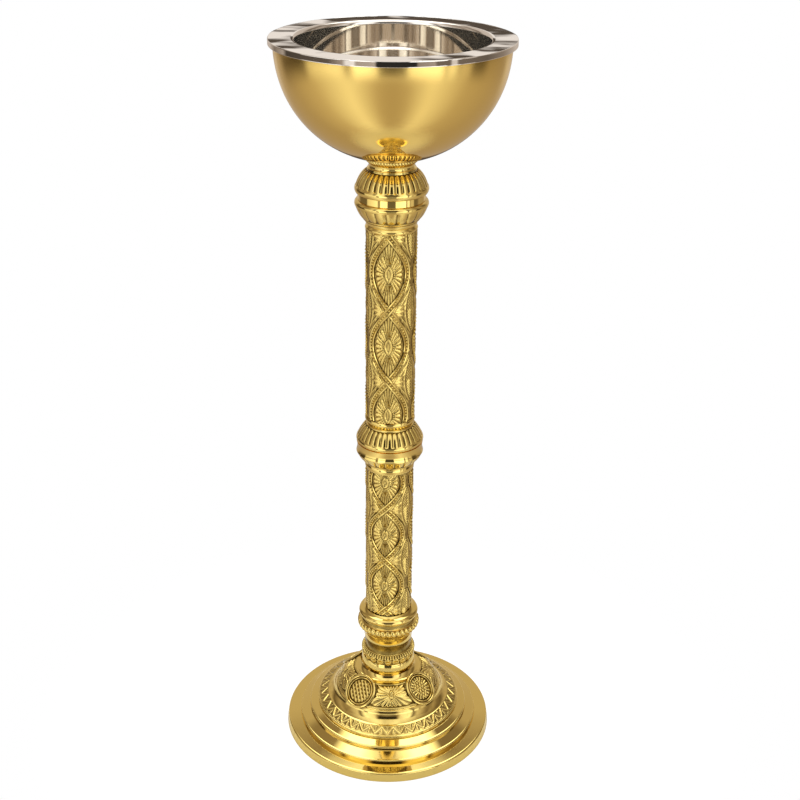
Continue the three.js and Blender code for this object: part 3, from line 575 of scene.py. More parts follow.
def chased_tube(sizes, front, crossing, pitch, flowers, pointed):
    """Relief of a tube: flowers in the ovals, palmettes beside the crossings, leaves between the columns."""
    radius = sizes.tube_radius / MM
    share = 360.0 / sizes.columns

    def relief(bearing, along, r, z):
        turn = (bearing - front + share / 2.0) % share - share / 2.0
        u = np.radians(turn) * radius
        near = z - (crossing + np.round((z - crossing) / pitch) * pitch)
        sway, slope = ribbon_sway(sizes, crossing, pitch, z, 1.0)
        lean = np.hypot(1.0, slope)
        clear = np.minimum(np.abs(u - sway), np.abs(u + sway)) / lean
        h = np.zeros_like(u)
        inside = ramp(np.abs(sway) - np.abs(u), 0.0, 0.6) * ramp(clear, *RIBBON_CLEAR)
        for middle in flowers:
            q = (z - middle) / OVAL_STRETCH
            far = np.hypot(u, q)
            tilt = np.degrees(np.arctan2(q, np.abs(u)))
            zone = span(far, 5.0, 7.0, 15.5, 17.8) * (np.abs(tilt) < 66.0)
            petals = 1.5 * fan(far, tilt, 14.5, 4, 4.6, 17.8)
            petals = np.where(petals > 0.08, petals, -0.7 * zone)
            lines = (0.1 + 0.55 * np.cos((90.0 - np.abs(tilt)) * math.tau / 9.6)) * ramp(far, 6.0, 10.0)
            petals = np.where(np.abs(tilt) < 66.0, petals, lines)
            if pointed:
                heart = np.abs(u) / 4.3 + (np.abs(z - middle) / 10.6) ** 2
                seed = ridge(u, 0.9) * (1.0 - ramp(np.abs(z - middle), 4.5, 6.5))
            else:
                heart = np.hypot(u / 3.5, (z - middle) / 6.4)
                seed = ridge(np.hypot(u, (z - middle) / 1.8), 1.2)
            ring = 1.1 * ridge(heart - 1.0, 0.26) - 0.5 * ridge(heart - 1.42, 0.16)
            centre = np.where(heart < 1.0, np.maximum(ring, 0.95 * seed - 0.25), ring)
            flower = np.where(heart < 1.5, centre, petals)
            own = (np.abs(z - middle) < pitch / 2.0) * inside
            h = np.where(own > 0.0, flower * own, h)
        outside = ramp(np.abs(u) - np.abs(sway), 0.0, 0.6) * ramp(clear, *RIBBON_CLEAR)
        side = np.abs(u) - 3.6
        far = np.hypot(side, near)
        tilt = np.degrees(np.arctan2(near, side))
        pick = np.clip(np.round(tilt / PALM_SPREAD), -2, 2)
        across = np.sin(np.radians(tilt - pick * PALM_SPREAD)) * far
        palm = 1.5 * leaf(far, across, 1.5, 19.5 - 1.6 * np.abs(pick), 3.0) * (np.abs(tilt) < 80.0)
        curl = np.hypot(np.abs(u) - 15.5, np.abs(near) - 15.0)
        palm = np.maximum(palm, ridge(curl - 2.6, 0.8) * (np.abs(near) > 13.0))
        edge = np.abs(u) - math.radians(share / 2.0) * radius
        tall = near / 31.0
        width = 7.0 * np.clip(1.0 - tall ** 2, 0.0, 1.0) + 1e-6
        blade = 0.7 * crown(edge / width)
        veins = 0.55 * np.cos(math.tau * (np.abs(near) * 0.24 - np.abs(edge) * 0.34))
        within = (np.abs(edge) < width) & (np.abs(tall) < 1.0)
        filler = np.where(within, blade + veins - 0.4 * ridge(edge, 0.7), 0.0)
        stems = 0.95 * ridge(np.abs(edge) - 9.0 * (1.0 - tall ** 2) - 1.6, 0.8) * (np.abs(tall) < 1.0)
        twigs = ridge((np.abs(near) * 0.8 + np.abs(edge) + 3.0) % 6.0 - 3.0, 0.9)
        twigs = 0.8 * twigs * (np.abs(edge) > width + 2.4)
        filler = np.maximum(filler, np.maximum(stems, twigs - 0.1))
        filler = np.where(palm > 0.05, palm, filler)
        h = np.where(outside > 0.0, filler * outside, h)
        return h - 0.8 * ridge(clear - 4.5, 0.6)

    return relief


def chased_dome(sizes, band_from, band_to, slope_from, slope_to):
    """Relief of the base: zigzag leaves on the sloped band, a flower in each space between the medallions."""
    depth = band_to - band_from

    def relief(bearing, along, r, z):
        b = along - band_from
        x = repeat(bearing, sizes.zigzags)
        pitch = math.tau * BAND_RADIUS / sizes.zigzags
        wave = np.abs(2.0 * x)
        level = 2.4 + (depth - 4.8) * wave
        steep = 2.0 * (depth - 4.8) / pitch
        gap = (b - level) / math.hypot(1.0, steep)
        zig = ridge(gap, 1.1)
        low = b < level
        apex = np.where(low, depth - 0.5, 0.5)
        middle = np.where(low, np.abs(x) - 0.5, x) * pitch
        swing = np.degrees(np.arctan2(middle, np.abs(b - apex) + 2.0))
        ribs = (0.1 + 0.45 * np.cos(swing * math.tau / 26.0)) * ramp(np.abs(gap), 1.2, 2.0)
        ribs = ribs - 0.6 * ridge(np.abs(gap) - 1.7, 0.5)
        rims = 0.5 * (ridge(b - 0.8, 0.45) + ridge(b - depth + 0.9, 0.45))
        ribs = ribs * span(b, 1.4, 2.2, depth - 2.4, depth - 1.6)
        zig = zig * ramp(b, 0.8, 2.0)
        band = np.maximum(np.where(zig > 0.25, zig, ribs), rims) * (b > 0.0) * (b < depth)

        c = along - slope_from
        tall = slope_to - slope_from
        turn = (bearing - FLOWER_BEARING + 45.0) % 90.0 - 45.0
        a = np.radians(turn) * r
        up = c - FLOWER_HEART * tall
        seat = np.hypot(np.radians(45.0 - np.abs(turn)) * r, c - tall / 2.0)
        room = np.minimum(np.minimum(c - 5.2, tall - 2.8 - c), seat - PETAL_END)
        across = repeat(np.degrees(np.arctan2(a, -up)) + FRONT, sizes.flower_petals)
        body = crown(2.0 * across) ** 0.7 * ramp(room - 9.0 * across ** 2, 0.0, 1.3)
        h = 1.7 * body - 0.55 - 0.3 * ridge(across, 0.05) * body
        heart = np.hypot(a / 2.5, up / 4.8)
        h = np.where(heart < 1.45, 1.1 * ridge(heart - 1.0, 0.3) + 0.9 * ridge(heart, 0.4) - 0.3, h)
        h = h * ramp(c, 4.4, 5.2) * ramp(tall - c, 2.0, 2.8)
        h = h + 0.9 * ridge(c - 0.9, 0.6) + 0.7 * ridge(c - 3.3, 0.8) + 0.7 * ridge(c - tall + 1.4, 0.7)
        h = np.where(seat < MEDALLION_SEAT, -3.2 * (1.0 - ramp(seat, 21.5, 23.0)), h)
        h = h * (c > 0.0) * ramp(tall - c, 0.0, 0.8)
        return band + h

    return relief


def wheat(x, y):
    """Sheaf of wheat laid across a medallion, over a lattice of stalks."""
    turn = math.radians(42.0)
    p = x * math.cos(turn) + y * math.sin(turn)
    q = y * math.cos(turn) - x * math.sin(turn)
    stalks = 1.5 * crown(((p + 2.5) % 5.0 - 2.5) / 1.7)
    ties = crown(((q + 0.5 * np.abs(p) + 3.0) % 6.0 - 3.0) / 1.3)
    far = np.hypot(x, y)
    return np.maximum(stalks, ties) * (1.0 - ramp(far, 15.6, 16.6))


def grapes(x, y):
    """Bunch of grapes with leaves at its sides."""
    pitch = 4.9
    rank = np.round(y / (pitch * 0.866))
    offset = np.where(rank % 2 == 0, 0.0, pitch / 2.0)
    px = (x - offset + pitch / 2.0) % pitch - pitch / 2.0
    py = y - rank * pitch * 0.866
    bunch = crown(np.hypot(px, py) / 2.3)
    wide = 10.0 * np.sqrt(np.clip(1.0 - ((y + 1.0) / 13.5) ** 2, 0.0, 1.0)) * (0.72 + 0.02 * (y + 12.0))
    core = 1.0 - ramp(np.abs(x) - wide, -0.6, 0.4)
    far = np.hypot(x, y)
    veins = (0.5 + 0.5 * np.cos(np.arctan2(y, x) * 20.0)) * span(far, 8.5, 10.5, 15.6, 16.8)
    return np.maximum(1.7 * bunch * core, 1.2 * veins * (1.0 - core))


def medallion(name, picture, sizes, bearing):
    """Round cast medallion with a double rim, set on the slope of the base dome."""
    piece = turned(name, outline(MEDALLION, 0.4), 150, sharp=50.0)
    mesh = piece.data
    place = corners(mesh)
    x, y, z = place.T / MM
    face = (z > -2.0) * (1.0 - ramp(np.hypot(x, y), 16.9, 17.8))
    height = picture(x, y) * face
    place[:, 2] += height * MM
    # Height for the painted shade: the picture by its relief, the rims and sunken rings by how low they lie.
    keep_relief(mesh, np.where(face > 0.0, 1.2 * height - 0.45, z + 0.7))
    mesh.vertices.foreach_set("co", place.ravel())
    lean = Matrix.Rotation(sizes.medallion_lean, 4, "X")
    out = Matrix.Translation((0.0, -sizes.medallion_reach, sizes.medallion_height))
    mesh.transform(Matrix.Rotation(math.radians(bearing - FRONT), 4, "Z") @ out @ lean)
    mesh.update()
    return piece


def settle(piece, finish, *nodes, body="stand"):
    """Give a piece its finish and let it ride in place of its plain solids."""
    bpy.context.scene.collection.objects.link(piece)
    piece.data.materials.append(finish)
    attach(piece, body)
    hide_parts(*nodes)


def wire(tree, kind, feeds=None, **settings):
    """Add a node with its settings, and feed its sockets with values or with other sockets."""
    made = tree.nodes.new(kind)
    for key, value in settings.items():
        setattr(made, key, value)
    for socket, value in (feeds or {}).items():
        if isinstance(value, bpy.types.NodeSocket):
            tree.links.new(value, made.inputs[socket])
        else:
            made.inputs[socket].default_value = value
    return made


def maths(tree, operation, first, second=0.0, **settings):
    """Result of a sum with one value or two."""
    return wire(tree, "ShaderNodeMath", {0: first, 1: second}, operation=operation, **settings).outputs[0]


def between(tree, value, start, end, low=0.0, high=1.0, kind="LINEAR"):
    """Value that goes from low to high while another goes from start to end."""
    feeds = {"Value": value, "From Min": start, "From Max": end, "To Min": low, "To Max": high}
    return wire(tree, "ShaderNodeMapRange", feeds, interpolation_type=kind).outputs[0]


def blend(tree, share, under, over):
    """Mix of two tones."""
    return wire(tree, "ShaderNodeMixRGB", {0: share, 1: under, 2: over}).outputs[0]


def grain(tree, scale, detail):
    """Cloudy grain that stays with the piece."""
    where = wire(tree, "ShaderNodeTexCoord")
    feeds = {"Vector": where.outputs["Object"], "Scale": scale, "Detail": detail}
    return wire(tree, "ShaderNodeTexNoise", feeds).outputs[0]


def group(name, inputs, outputs):
    """Start a shader node group with named sockets."""
    tree = bpy.data.node_groups.new(name, "ShaderNodeTree")
    for title, kind, value in inputs:
        socket = tree.interface.new_socket(name=title, in_out="INPUT", socket_type=kind)
        socket.default_value = value
    for title, kind in outputs:
        tree.interface.new_socket(name=title, in_out="OUTPUT", socket_type=kind)
    return tree, tree.nodes.new("NodeGroupInput").outputs, tree.nodes.new("NodeGroupOutput").inputs


def polish_marks():
    """Uneven gloss and a faint ripple, as left by a buffing wheel."""
    if "Polish marks" in bpy.data.node_groups:
        return bpy.data.node_groups["Polish marks"]
    tree, given, put = group(
        "Polish marks",
        [("Gloss low", "NodeSocketFloat", 0.08), ("Gloss high", "NodeSocketFloat", 0.16),
         ("Ripple", "NodeSocketFloat", 0.2)],
        [("Roughness", "NodeSocketFloat"), ("Normal", "NodeSocketVector")])
    gloss = between(tree, grain(tree, 45.0, 3.0), 0.3, 0.7, given["Gloss low"], given["Gloss high"])
    ripple = wire(tree, "ShaderNodeBump", {
        "Strength": given["Ripple"], "Distance": 0.0006, "Height": grain(tree, 28.0, 1.0)})
    tree.links.new(gloss, put["Roughness"])
    tree.links.new(ripple.outputs[0], put["Normal"])
    return tree


def painted_hollow_shade():
    """Painted shade: colour that darkens from the raised relief into its hollows by the stored height, and gloss
    that falls off the same way.
    """
    if "Painted hollow shade" in bpy.data.node_groups:
        return bpy.data.node_groups["Painted hollow shade"]
    tree, given, put = group(
        "Painted hollow shade",
        [("Raised", "NodeSocketColor", (0.9, 0.6, 0.2, 1.0)), ("Hollow", "NodeSocketColor", (0.4, 0.2, 0.03, 1.0)),
         ("Low", "NodeSocketFloat", -0.1), ("High", "NodeSocketFloat", 0.6), ("Gloss", "NodeSocketFloat", 0.1),
         ("Hollow gloss", "NodeSocketFloat", 0.4)],
        [("Color", "NodeSocketColor"), ("Roughness", "NodeSocketFloat")])
    relief = wire(tree, "ShaderNodeAttribute", attribute_name="relief")
    level = between(tree, relief.outputs["Fac"], given["Low"], given["High"])
    uneven = between(tree, grain(tree, 130.0, 2.0), 0.3, 0.7, -0.18, 0.12)
    # Painted shade: the hollow colour is blended in where the stored relief height is low, with a little random
    # unevenness.
    mask = maths(tree, "ADD", level, uneven, use_clamp=True)
    tree.links.new(blend(tree, mask, given["Hollow"], given["Raised"]), put["Color"])
    tree.links.new(between(tree, mask, 0.0, 1.0, given["Hollow gloss"], given["Gloss"]), put["Roughness"])
    return tree


def bare_finish(name, metallic):
    """Start a finish, and hand it over with its nodes and its skin."""
    finish = bpy.data.materials.new(name)
    finish.use_nodes = True
    skin = finish.node_tree.nodes["Principled BSDF"]
    skin.inputs["Metallic"].default_value = metallic
    return finish, finish.node_tree, skin


def metal(name, colour, gloss, ripple, hollow_shade=None, level=(-0.1, 0.6), dull=0.4, streak=0.0, graded=None,
          metallic=1.0):
    """Metal finish with polish marks, and where asked with painted shade in the hollows, spun streaks or marks
    graded by height.
    """
    if name in bpy.data.materials:
        return bpy.data.materials[name]
    finish, tree, skin = bare_finish(name, metallic)
    skin.inputs["Base Color"].default_value = (*colour, 1.0)
    marks = wire(tree, "ShaderNodeGroup", {
        "Gloss low": gloss[0], "Gloss high": gloss[1], "Ripple": ripple}, node_tree=polish_marks())
    tree.links.new(marks.outputs["Roughness"], skin.inputs["Roughness"])
    tree.links.new(marks.outputs["Normal"], skin.inputs["Normal"])
    if graded:
        where = wire(tree, "ShaderNodeTexCoord")
        up = wire(tree, "ShaderNodeSeparateXYZ", {0: where.outputs["Object"]}).outputs[2]
        for socket, change in graded.items():
            tree.links.new(between(tree, up, *change), marks.inputs[socket])
    # Painted shade: blend the colour towards the dark hollow colour where the relief is low.
    if hollow_shade is not None:
        tone = wire(tree, "ShaderNodeGroup", {
            "Raised": (*colour, 1.0), "Hollow": (*hollow_shade, 1.0), "Low": level[0], "High": level[1],
            "Gloss": marks.outputs["Roughness"], "Hollow gloss": dull}, node_tree=painted_hollow_shade())
        tree.links.new(tone.outputs["Color"], skin.inputs["Base Color"])
        tree.links.new(tone.outputs["Roughness"], skin.inputs["Roughness"])
    if streak:
        skin.inputs["Anisotropic"].default_value = streak
        spun = wire(tree, "ShaderNodeTangent", direction_type="RADIAL", axis="Z")
        tree.links.new(spun.outputs[0], skin.inputs["Tangent"])
    return finish


def polished_brass(context):
    """Lacquered mirror brass."""
    return metal("mirror_brass", context.scene.stoup_finish.brass, (0.035, 0.07), 0.12)


def embossed_brass(context):
    """Mirror brass with painted shade in the hollows of its relief."""
    finish = context.scene.stoup_finish
    return metal("chased_brass", finish.brass, (0.05, 0.10), 0.06, finish.brass_hollow_shade, (-0.55, 0.7), 0.26)


def fluted_brass(context):
    """Mirror brass with painted shade as dark lines between the flutes."""
    finish = context.scene.stoup_finish
    return metal("fluted_brass", finish.brass, (0.045, 0.09), 0.10, finish.brass_hollow_shade, (-1.1, -0.4), 0.25)


def plain_finish(name, colour, roughness, metallic, scale, bump):
    """Plain surface with grain in its colour and bump: iron, zinc and felt."""
    if name in bpy.data.materials:
        return bpy.data.materials[name]
    finish, tree, skin = bare_finish(name, metallic)
    skin.inputs["Roughness"].default_value = roughness
    speck = grain(tree, scale, 4.0)
    tint = wire(tree, "ShaderNodeValToRGB", {"Fac": speck})
    for stop, place, share in zip(tint.color_ramp.elements, (0.3, 0.7), (0.7, 1.2)):
        stop.position = place
        stop.color = (*[min(1.0, c * share) for c in colour], 1.0)
    tree.links.new(tint.outputs[0], skin.inputs["Base Color"])
    rough = wire(tree, "ShaderNodeBump", {"Strength": 0.5, "Distance": bump, "Height": speck})
    tree.links.new(rough.outputs[0], skin.inputs["Normal"])
    return finish


def light_ramp(tree, place, stops, reach):
    """Ramp of tones over a span from -reach to reach, warmer where it is darker."""
    made = wire(tree, "ShaderNodeValToRGB", {0: place})
    spots = made.color_ramp.elements
    while len(spots) > 1:
        spots.remove(spots[-1])
    for i, (at, light) in enumerate(stops):
        spot = spots.new((at / reach + 1.0) / 2.0) if i else spots[0]
        spot.position = (at / reach + 1.0) / 2.0
        white = min(1.0, light / 1.2)
        spot.color = (light, light * (0.72 + 0.28 * white), light * (0.50 + 0.50 * white), 1.0)
    return made.outputs[0]


def plain_turned(context, node, points):
    """Turn and settle a smooth piece of the column in mirror brass."""
    settle(turned(node + "_turned", outline(points), COLUMN_STEPS), polished_brass(context), node)


def cast(node, rows, steps, relief, finish):
    """Close a casting's outline with its bore, spin it with its relief and settle it."""
    rows = rows + outline([(BORE, rows[-1][1]), (BORE, rows[0][1])])
    settle(turned(node + "_cast", rows, steps, relief, RELIEF_EDGE), finish, node)


def bowl_side(reach, rim, depth, angles):
    """Rows of one face of the bowl."""
    return [(reach * math.sin(a), rim - depth * math.cos(a) ** (2.0 / BOWL_FULLNESS)) for a in angles]


def lay_floor(scene, stage):
    """Pale round floor that keeps the shadow and fades out into the white ground."""
    bm = bmesh.new()
    bmesh.ops.create_circle(bm, cap_ends=True, radius=FLOOR_RADIUS, segments=96)
    mesh = mesh_of(bm, "floor")
    mesh.transform(Matrix.Translation((0.0, 0.0, -0.0005)))
    floor = bpy.data.objects.new("floor", mesh)
    scene.collection.objects.link(floor)
    pale = bpy.data.materials.new("pale_floor")
    pale.use_nodes = True
    tree = pale.node_tree
    tree.nodes.clear()
    matt = wire(tree, "ShaderNodeBsdfDiffuse", {"Color": (*stage.floor, 1.0)})
    white = wire(tree, "ShaderNodeEmission", {"Color": WHITE, "Strength": 1.2})
    path = wire(tree, "ShaderNodeLightPath")
    share = maths(tree, "MULTIPLY", path.outputs["Is Camera Ray"], 0.82)
    both = wire(tree, "ShaderNodeMixShader", {0: share, 1: matt.outputs[0], 2: white.outputs[0]})
    where = wire(tree, "ShaderNodeTexCoord")
    away = wire(tree, "ShaderNodeVectorMath", {0: where.outputs["Object"]}, operation="LENGTH")
    fade = between(tree, away.outputs["Value"], *FLOOR_FADE, kind="SMOOTHSTEP")
    clear = wire(tree, "ShaderNodeBsdfTransparent")
    edge = wire(tree, "ShaderNodeMixShader", {0: fade, 1: both.outputs[0], 2: clear.outputs[0]})
    wire(tree, "ShaderNodeOutputMaterial", {"Surface": edge.outputs[0]})
    mesh.materials.append(pale)


def studio_tone(tree):
    """Tone of the studio in every direction: walls, ceiling, slot, rail, sweep, sill and the soft box overhead."""
    where = wire(tree, "ShaderNodeTexCoord")
    x, y, z = wire(tree, "ShaderNodeSeparateXYZ", {0: where.outputs["Generated"]}).outputs
    bearing = maths(tree, "ARCTAN2", x, maths(tree, "MULTIPLY", y, -1.0))
    away = maths(tree, "ABSOLUTE", bearing)
    place = between(tree, bearing, -math.pi, math.pi)
    level = between(tree, z, -1.0, 1.0)
    lit, rail, sweep, upper, ceiling = (
        light_ramp(tree, place, stops, 180.0) for stops in (WALLS, RAIL, SWEEP, UPPER, CEILING))
    slot, sill = (light_ramp(tree, level, stops, 1.0) for stops in (SLOT, SILL))
    for start, end, tone in ((-0.02, 0.10, upper), (0.62, 0.70, ceiling)):
        lit = blend(tree, between(tree, z, start, end), lit, tone)

    width = between(tree, z, -0.3, 0.6, 0.26, 0.37)
    inside = between(tree, away, maths(tree, "MULTIPLY", width, 0.85), width, 1.0, 0.0)
    depth = wire(tree, "ShaderNodeSeparateColor", {0: slot}).outputs[0]
    lit = blend(tree, maths(tree, "MULTIPLY", inside, depth), lit, SLOT_TONE)

    share = maths(tree, "MULTIPLY", between(tree, z, -0.22, -0.208), between(tree, z, -0.162, -0.174))
    lit = blend(tree, share, lit, rail)
    lit = blend(tree, between(tree, z, -0.22, -0.46, kind="SMOOTHSTEP"), lit, sweep)
    share = maths(tree, "MULTIPLY", between(tree, away, 2.97, 3.03), between(tree, z, 0.36, 0.30))
    lit = blend(tree, share, lit, sill)

    height = maths(tree, "MAXIMUM", z, 0.05)
    aside, back = (maths(tree, "DIVIDE", way, height) for way in (x, y))
    panel = between(tree, maths(tree, "ABSOLUTE", aside), 0.55, 0.40)
    for start, end in ((-0.02, 0.05), (1.01, 0.84)):
        panel = maths(tree, "MULTIPLY", panel, between(tree, back, start, end))
    return blend(tree, panel, lit, SOFT_BOX)


def light_studio(scene):
    """Light the piece by the studio, behind which the camera sees plain white."""
    world = bpy.data.worlds.new("studio")
    scene.world = world
    world.use_nodes = True
    tree = world.node_tree
    tree.nodes.clear()
    studio = wire(tree, "ShaderNodeBackground", {"Color": studio_tone(tree), "Strength": 1.0})
    plain = wire(tree, "ShaderNodeBackground", {"Color": WHITE, "Strength": 1.0})
    path = wire(tree, "ShaderNodeLightPath")
    both = wire(tree, "ShaderNodeMixShader", {
        0: path.outputs["Is Camera Ray"], 1: studio.outputs[0], 2: plain.outputs[0]})
    wire(tree, "ShaderNodeOutputWorld", {"Surface": both.outputs[0]})


def set_camera(scene, stage):
    """Set the camera at its place, looking down on the piece."""
    lens = bpy.data.cameras.new("camera")
    lens.lens = stage.lens
    lens.sensor_width = 36.0
    lens.shift_x = stage.side_shift
    camera = bpy.data.objects.new("camera", lens)
    scene.collection.objects.link(camera)
    look = Matrix.Rotation(math.pi / 2.0 - stage.tilt, 4, "X") @ Matrix.Rotation(stage.roll, 4, "Z")
    camera.matrix_world = Matrix.Translation((0.0, -stage.distance, stage.height)) @ look
    scene.camera = camera


class STOUP_OT_plinth(bpy.types.Operator):
    """Turn the stepped plinth and the felt ring under it"""

    bl_idname = "stoup.plinth"
    bl_label = "Plinth and felt"

    def execute(self, context):
        settle(turned("plinth_turned", outline(PLINTH), 256), polished_brass(context), "base_plinth")
        felt = plain_finish("wool_felt", context.scene.stoup_finish.felt, 0.95, 0.0, 900.0, 0.0006)
        settle(turned("felt_ring_pressed", outline(FELT), 160), felt, "felt_ring")
        return {"FINISHED"}


class STOUP_OT_dome(bpy.types.Operator):
    """Cast the base dome with its chased band, four flowers and four medallions"""

    bl_idname = "stoup.dome"
    bl_label = "Base dome"

    def execute(self, context):
        sizes = context.scene.stoup_sizes
        rows = outline(DOME_SKIRT)
        starts = [len(rows) - 1]
        rows += outline([rows[-1], DOME_BAND], 0.6)[1:]
        starts.append(len(rows) - 1)
        rows += outline([rows[-1], *DOME_COVE])[1:]
        starts.append(len(rows) - 1)
        rows += outline([rows[-1], (*DOME_TOP, DOME_SWELL)], RELIEF_STEP)[1:]
        starts.append(len(rows) - 1)
        marks = lengths(rows)[starts]
        rows += [np.array(point) for point in DOME_INSIDE]
        dome = turned("base_dome_cast", rows, 640, chased_dome(sizes, *marks), RELIEF_EDGE)
        settle(dome, embossed_brass(context), "base_dome")
        for i in range(4):
            picture = wheat if i % 2 == 0 else grapes
            piece = medallion("base_medallion_%d" % (i + 1), picture, sizes, FLOWER_BEARING - 45.0 + 90.0 * i)
            settle(piece, embossed_brass(context), "base_dome")
        return {"FINISHED"}


class STOUP_OT_foot(bpy.types.Operator):
    """Turn the collar above the dome and the leafed foot spool"""

    bl_idname = "stoup.foot"
    bl_label = "Foot collar and spool"

    def execute(self, context):
        plain_turned(context, "base_collar", BASE_COLLAR)
        rows = outline(SPOOL_BAND, 0.4) + outline(SPOOL_WALL)[1:]
        cast("foot_spool", rows, 420, leafed(context.scene.stoup_sizes), embossed_brass(context))
        return {"FINISHED"}


class STOUP_OT_lower_knop(bpy.types.Operator):
    """Turn the cup, the gadroon ring and the tube socket of the lower knop"""

    bl_idname = "stoup.lower_knop"
    bl_label = "Lower knop"

    def execute(self, context):
        plain_turned(context, "lower_knop_cup", LOWER_CUP)
        rows = outline(GADROON_RING, RELIEF_STEP)
        cast("lower_knop_gadroon", rows, 420, gadrooned(context.scene.stoup_sizes), fluted_brass(context))
        plain_turned(context, "lower_tube_socket", SOCKET)
        return {"FINISHED"}


class STOUP_OT_tubes(bpy.types.Operator):
    """Chase the two tubes with interlaced beaded ovals"""

    bl_idname = "stoup.tubes"
    bl_label = "Chased tubes"

    def execute(self, context):
        sizes = context.scene.stoup_sizes
        ground = sizes.tube_radius / MM
        chased = embossed_brass(context)
        for node, front, crossing, pitch, flowers, pointed in TUBES:
            low, high = (corner.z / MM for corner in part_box(node))
            rows = outline([(ground, low), (ground, high)], 0.76)
            rows += outline([(TUBE_INSIDE, high), (TUBE_INSIDE, low)])
            relief = chased_tube(sizes, front, crossing, pitch, flowers, pointed)
            settle(turned(node + "_chased", rows, 270, relief, 70.0), chased, node)
            low = max(low, RIBBON_FOOT)
            settle(beaded_ribbons(node + "_ribbons", sizes, front, crossing, pitch, low, high), chased, node)
        return {"FINISHED"}


class STOUP_OT_mid_knop(bpy.types.Operator):
    """Turn the collars, cup, ring and tongued dome of the middle knop"""

    bl_idname = "stoup.mid_knop"
    bl_label = "Middle knop"

    def execute(self, context):
        sizes, fluted = context.scene.stoup_sizes, fluted_brass(context)
        plain_turned(context, "mid_lower_collar", MID_LOWER_COLLAR)
        plain_turned(context, "mid_knop_ring", MID_RING)
        plain_turned(context, "mid_upper_collar", MID_UPPER_COLLAR)
        lobes = tongued(sizes.cup_lobes, 450.0, 437.6, 12.6, 1.0)
        cast("mid_knop_cup", outline(MID_CUP, RELIEF_STEP), 400, lobes, fluted)
        rows = outline(MID_BEAD) + outline(MID_DOME, RELIEF_STEP)[1:]
        cast("mid_knop_dome", rows, 448, tongued(sizes.tongues, 474.2, 491.2, 7.4, 1.2), fluted)
        return {"FINISHED"}


class STOUP_OT_upper_knop(bpy.types.Operator):
    """Turn the collar, cup, band and tongued dome of the upper knop"""

    bl_idname = "stoup.upper_knop"
    bl_label = "Upper knop"

    def execute(self, context):
        sizes, fluted = context.scene.stoup_sizes, fluted_brass(context)
        plain_turned(context, "upper_collar", UPPER_COLLAR)
        plain_turned(context, "upper_knop_band", UPPER_BAND)
        lobes = tongued(sizes.cup_lobes, 795.5, 778.6, 13.2, 1.0)
        cast("upper_knop_cup", outline(UPPER_CUP, RELIEF_STEP), 400, lobes, fluted)
        rows = outline(UPPER_BEAD) + outline(UPPER_DOME, RELIEF_STEP)[1:]
        cast("upper_knop_dome", rows, 448, tongued(sizes.tongues, 821.2, 841.2, 7.6, 1.3), fluted)
        return {"FINISHED"}


class STOUP_OT_bowl(bpy.types.Operator):
    """Turn the neck with its reeded lip and spin the bowl shell"""

    bl_idname = "stoup.bowl"
    bl_label = "Neck and bowl"

    def execute(self, context):
        rows = outline(NECK) + outline(NECK_LIP, 0.4)[1:] + outline(NECK_SEAT)
        neck = turned("bowl_neck_cast", rows, 432, reeded(context.scene.stoup_sizes), RELIEF_EDGE)
        settle(neck, fluted_brass(context), "bowl_neck")
        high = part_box("bowl_shell")[1]
        rim, reach = high.z / MM, high.x / MM
        angles = np.linspace(math.asin(BOWL_FLAT / reach), math.pi / 2.0, 56)
        outer = bowl_side(reach, rim, BOWL_DEPTH, angles)
        inner = bowl_side(reach - BOWL_WALL, rim, BOWL_DEPTH - BOWL_WALL, angles[::-1])
        rows = [(ROD_HOLE, outer[0][1]), *outer, *inner, (ROD_HOLE, inner[-1][1])]
        satin = metal(
            "spun_brass", context.scene.stoup_finish.satin, (0.17, 0.20), 0.03, streak=0.15,
            graded={"Gloss low": (0.885, 0.93, 0.03, 0.17), "Gloss high": (0.885, 0.93, 0.04, 0.20)})
        settle(turned("bowl_shell_spun", rows, 288), satin, "bowl_shell")
        return {"FINISHED"}


class STOUP_OT_liner(bpy.types.Operator):
    """Turn the loose plated liner with its flange, lip and basin"""

    bl_idname = "stoup.liner"
    bl_label = "Liner"

    def execute(self, context):
        nickel = metal(
            "bright_nickel", context.scene.stoup_finish.nickel, (0.015, 0.04), 0.3, metallic=0.975,
            graded={"Ripple": (0.9994, 0.9999, 0.03, 0.6)})
        settle(turned("liner_plated", outline(LINER), 288, waves), nickel, "liner", body="liner")
        return {"FINISHED"}


class STOUP_OT_hardware(bpy.types.Operator):
    """Finish the ballast and the tie rod with its nuts and washers"""

    bl_idname = "stoup.hardware"
    bl_label = "Ballast and tie rod"

    def execute(self, context):
        colours = context.scene.stoup_finish
        iron = plain_finish("iron_casting", colours.iron, 0.7, 0.0, 350.0, 0.0008)
        zinc = plain_finish("zinc_plate", colours.steel, 0.32, 1.0, 500.0, 0.0001)
        for node in SLOTS:
            finish = {"grey_iron": iron, "zinc_steel": zinc}.get(SLOTS[node])
            if finish:
                solid = frame["nodes"][node]
                solid.data.materials.clear()
                solid.data.materials.append(finish)
        return {"FINISHED"}


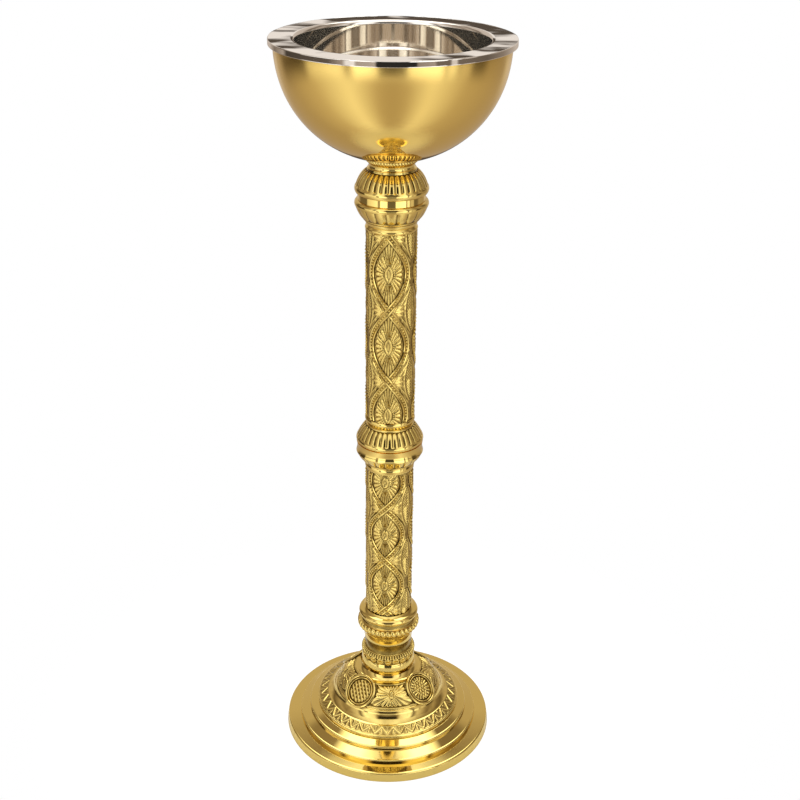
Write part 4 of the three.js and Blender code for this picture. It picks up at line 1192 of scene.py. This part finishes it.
class STOUP_OT_stage(bpy.types.Operator):
    """Lay the pale floor, light the studio and set the camera"""

    bl_idname = "stoup.stage"
    bl_label = "Studio"

    def execute(self, context):
        scene, stage = context.scene, context.scene.stoup_stage
        lay_floor(scene, stage)
        light_studio(scene)
        set_camera(scene, stage)
        scene.view_settings.view_transform = "Standard"
        return {"FINISHED"}


class STOUP_PT_panel(bpy.types.Panel):
    """Lists the pieces of the stoup and their sizes"""

    bl_idname = "STOUP_PT_panel"
    bl_label = "Holy water stoup"
    bl_space_type = "VIEW_3D"
    bl_region_type = "UI"
    bl_category = "Stoup"

    def draw(self, context):
        for maker in MAKERS:
            self.layout.operator(maker.bl_idname)
        for settings in (context.scene.stoup_sizes, context.scene.stoup_finish, context.scene.stoup_stage):
            box = self.layout.box()
            for key in settings.__annotations__:
                box.prop(settings, key)


MAKERS = (
    STOUP_OT_stage, STOUP_OT_plinth, STOUP_OT_dome, STOUP_OT_foot, STOUP_OT_lower_knop, STOUP_OT_tubes,
    STOUP_OT_mid_knop, STOUP_OT_upper_knop, STOUP_OT_bowl, STOUP_OT_liner, STOUP_OT_hardware,
)
SETTINGS = (("stoup_sizes", StoupSizes), ("stoup_finish", StoupFinish), ("stoup_stage", StoupStage))


def register():
    """Register the settings, the makers and the panel."""
    for key, kind in SETTINGS:
        bpy.utils.register_class(kind)
        setattr(bpy.types.Scene, key, PointerProperty(type=kind))
    for maker in MAKERS:
        bpy.utils.register_class(maker)
    bpy.utils.register_class(STOUP_PT_panel)


def unregister():
    """Take away what register added."""
    bpy.utils.unregister_class(STOUP_PT_panel)
    for maker in reversed(MAKERS):
        bpy.utils.unregister_class(maker)
    for key, kind in reversed(SETTINGS):
        delattr(bpy.types.Scene, key)
        bpy.utils.unregister_class(kind)


def main():
    """Make every piece in order."""
    register()
    bpy.ops.stoup.stage()
    bpy.ops.stoup.plinth()
    bpy.ops.stoup.dome()
    bpy.ops.stoup.foot()
    bpy.ops.stoup.lower_knop()
    bpy.ops.stoup.tubes()
    bpy.ops.stoup.mid_knop()
    bpy.ops.stoup.upper_knop()
    bpy.ops.stoup.bowl()
    bpy.ops.stoup.liner()
    bpy.ops.stoup.hardware()


if __name__ == "__main__":
    main()
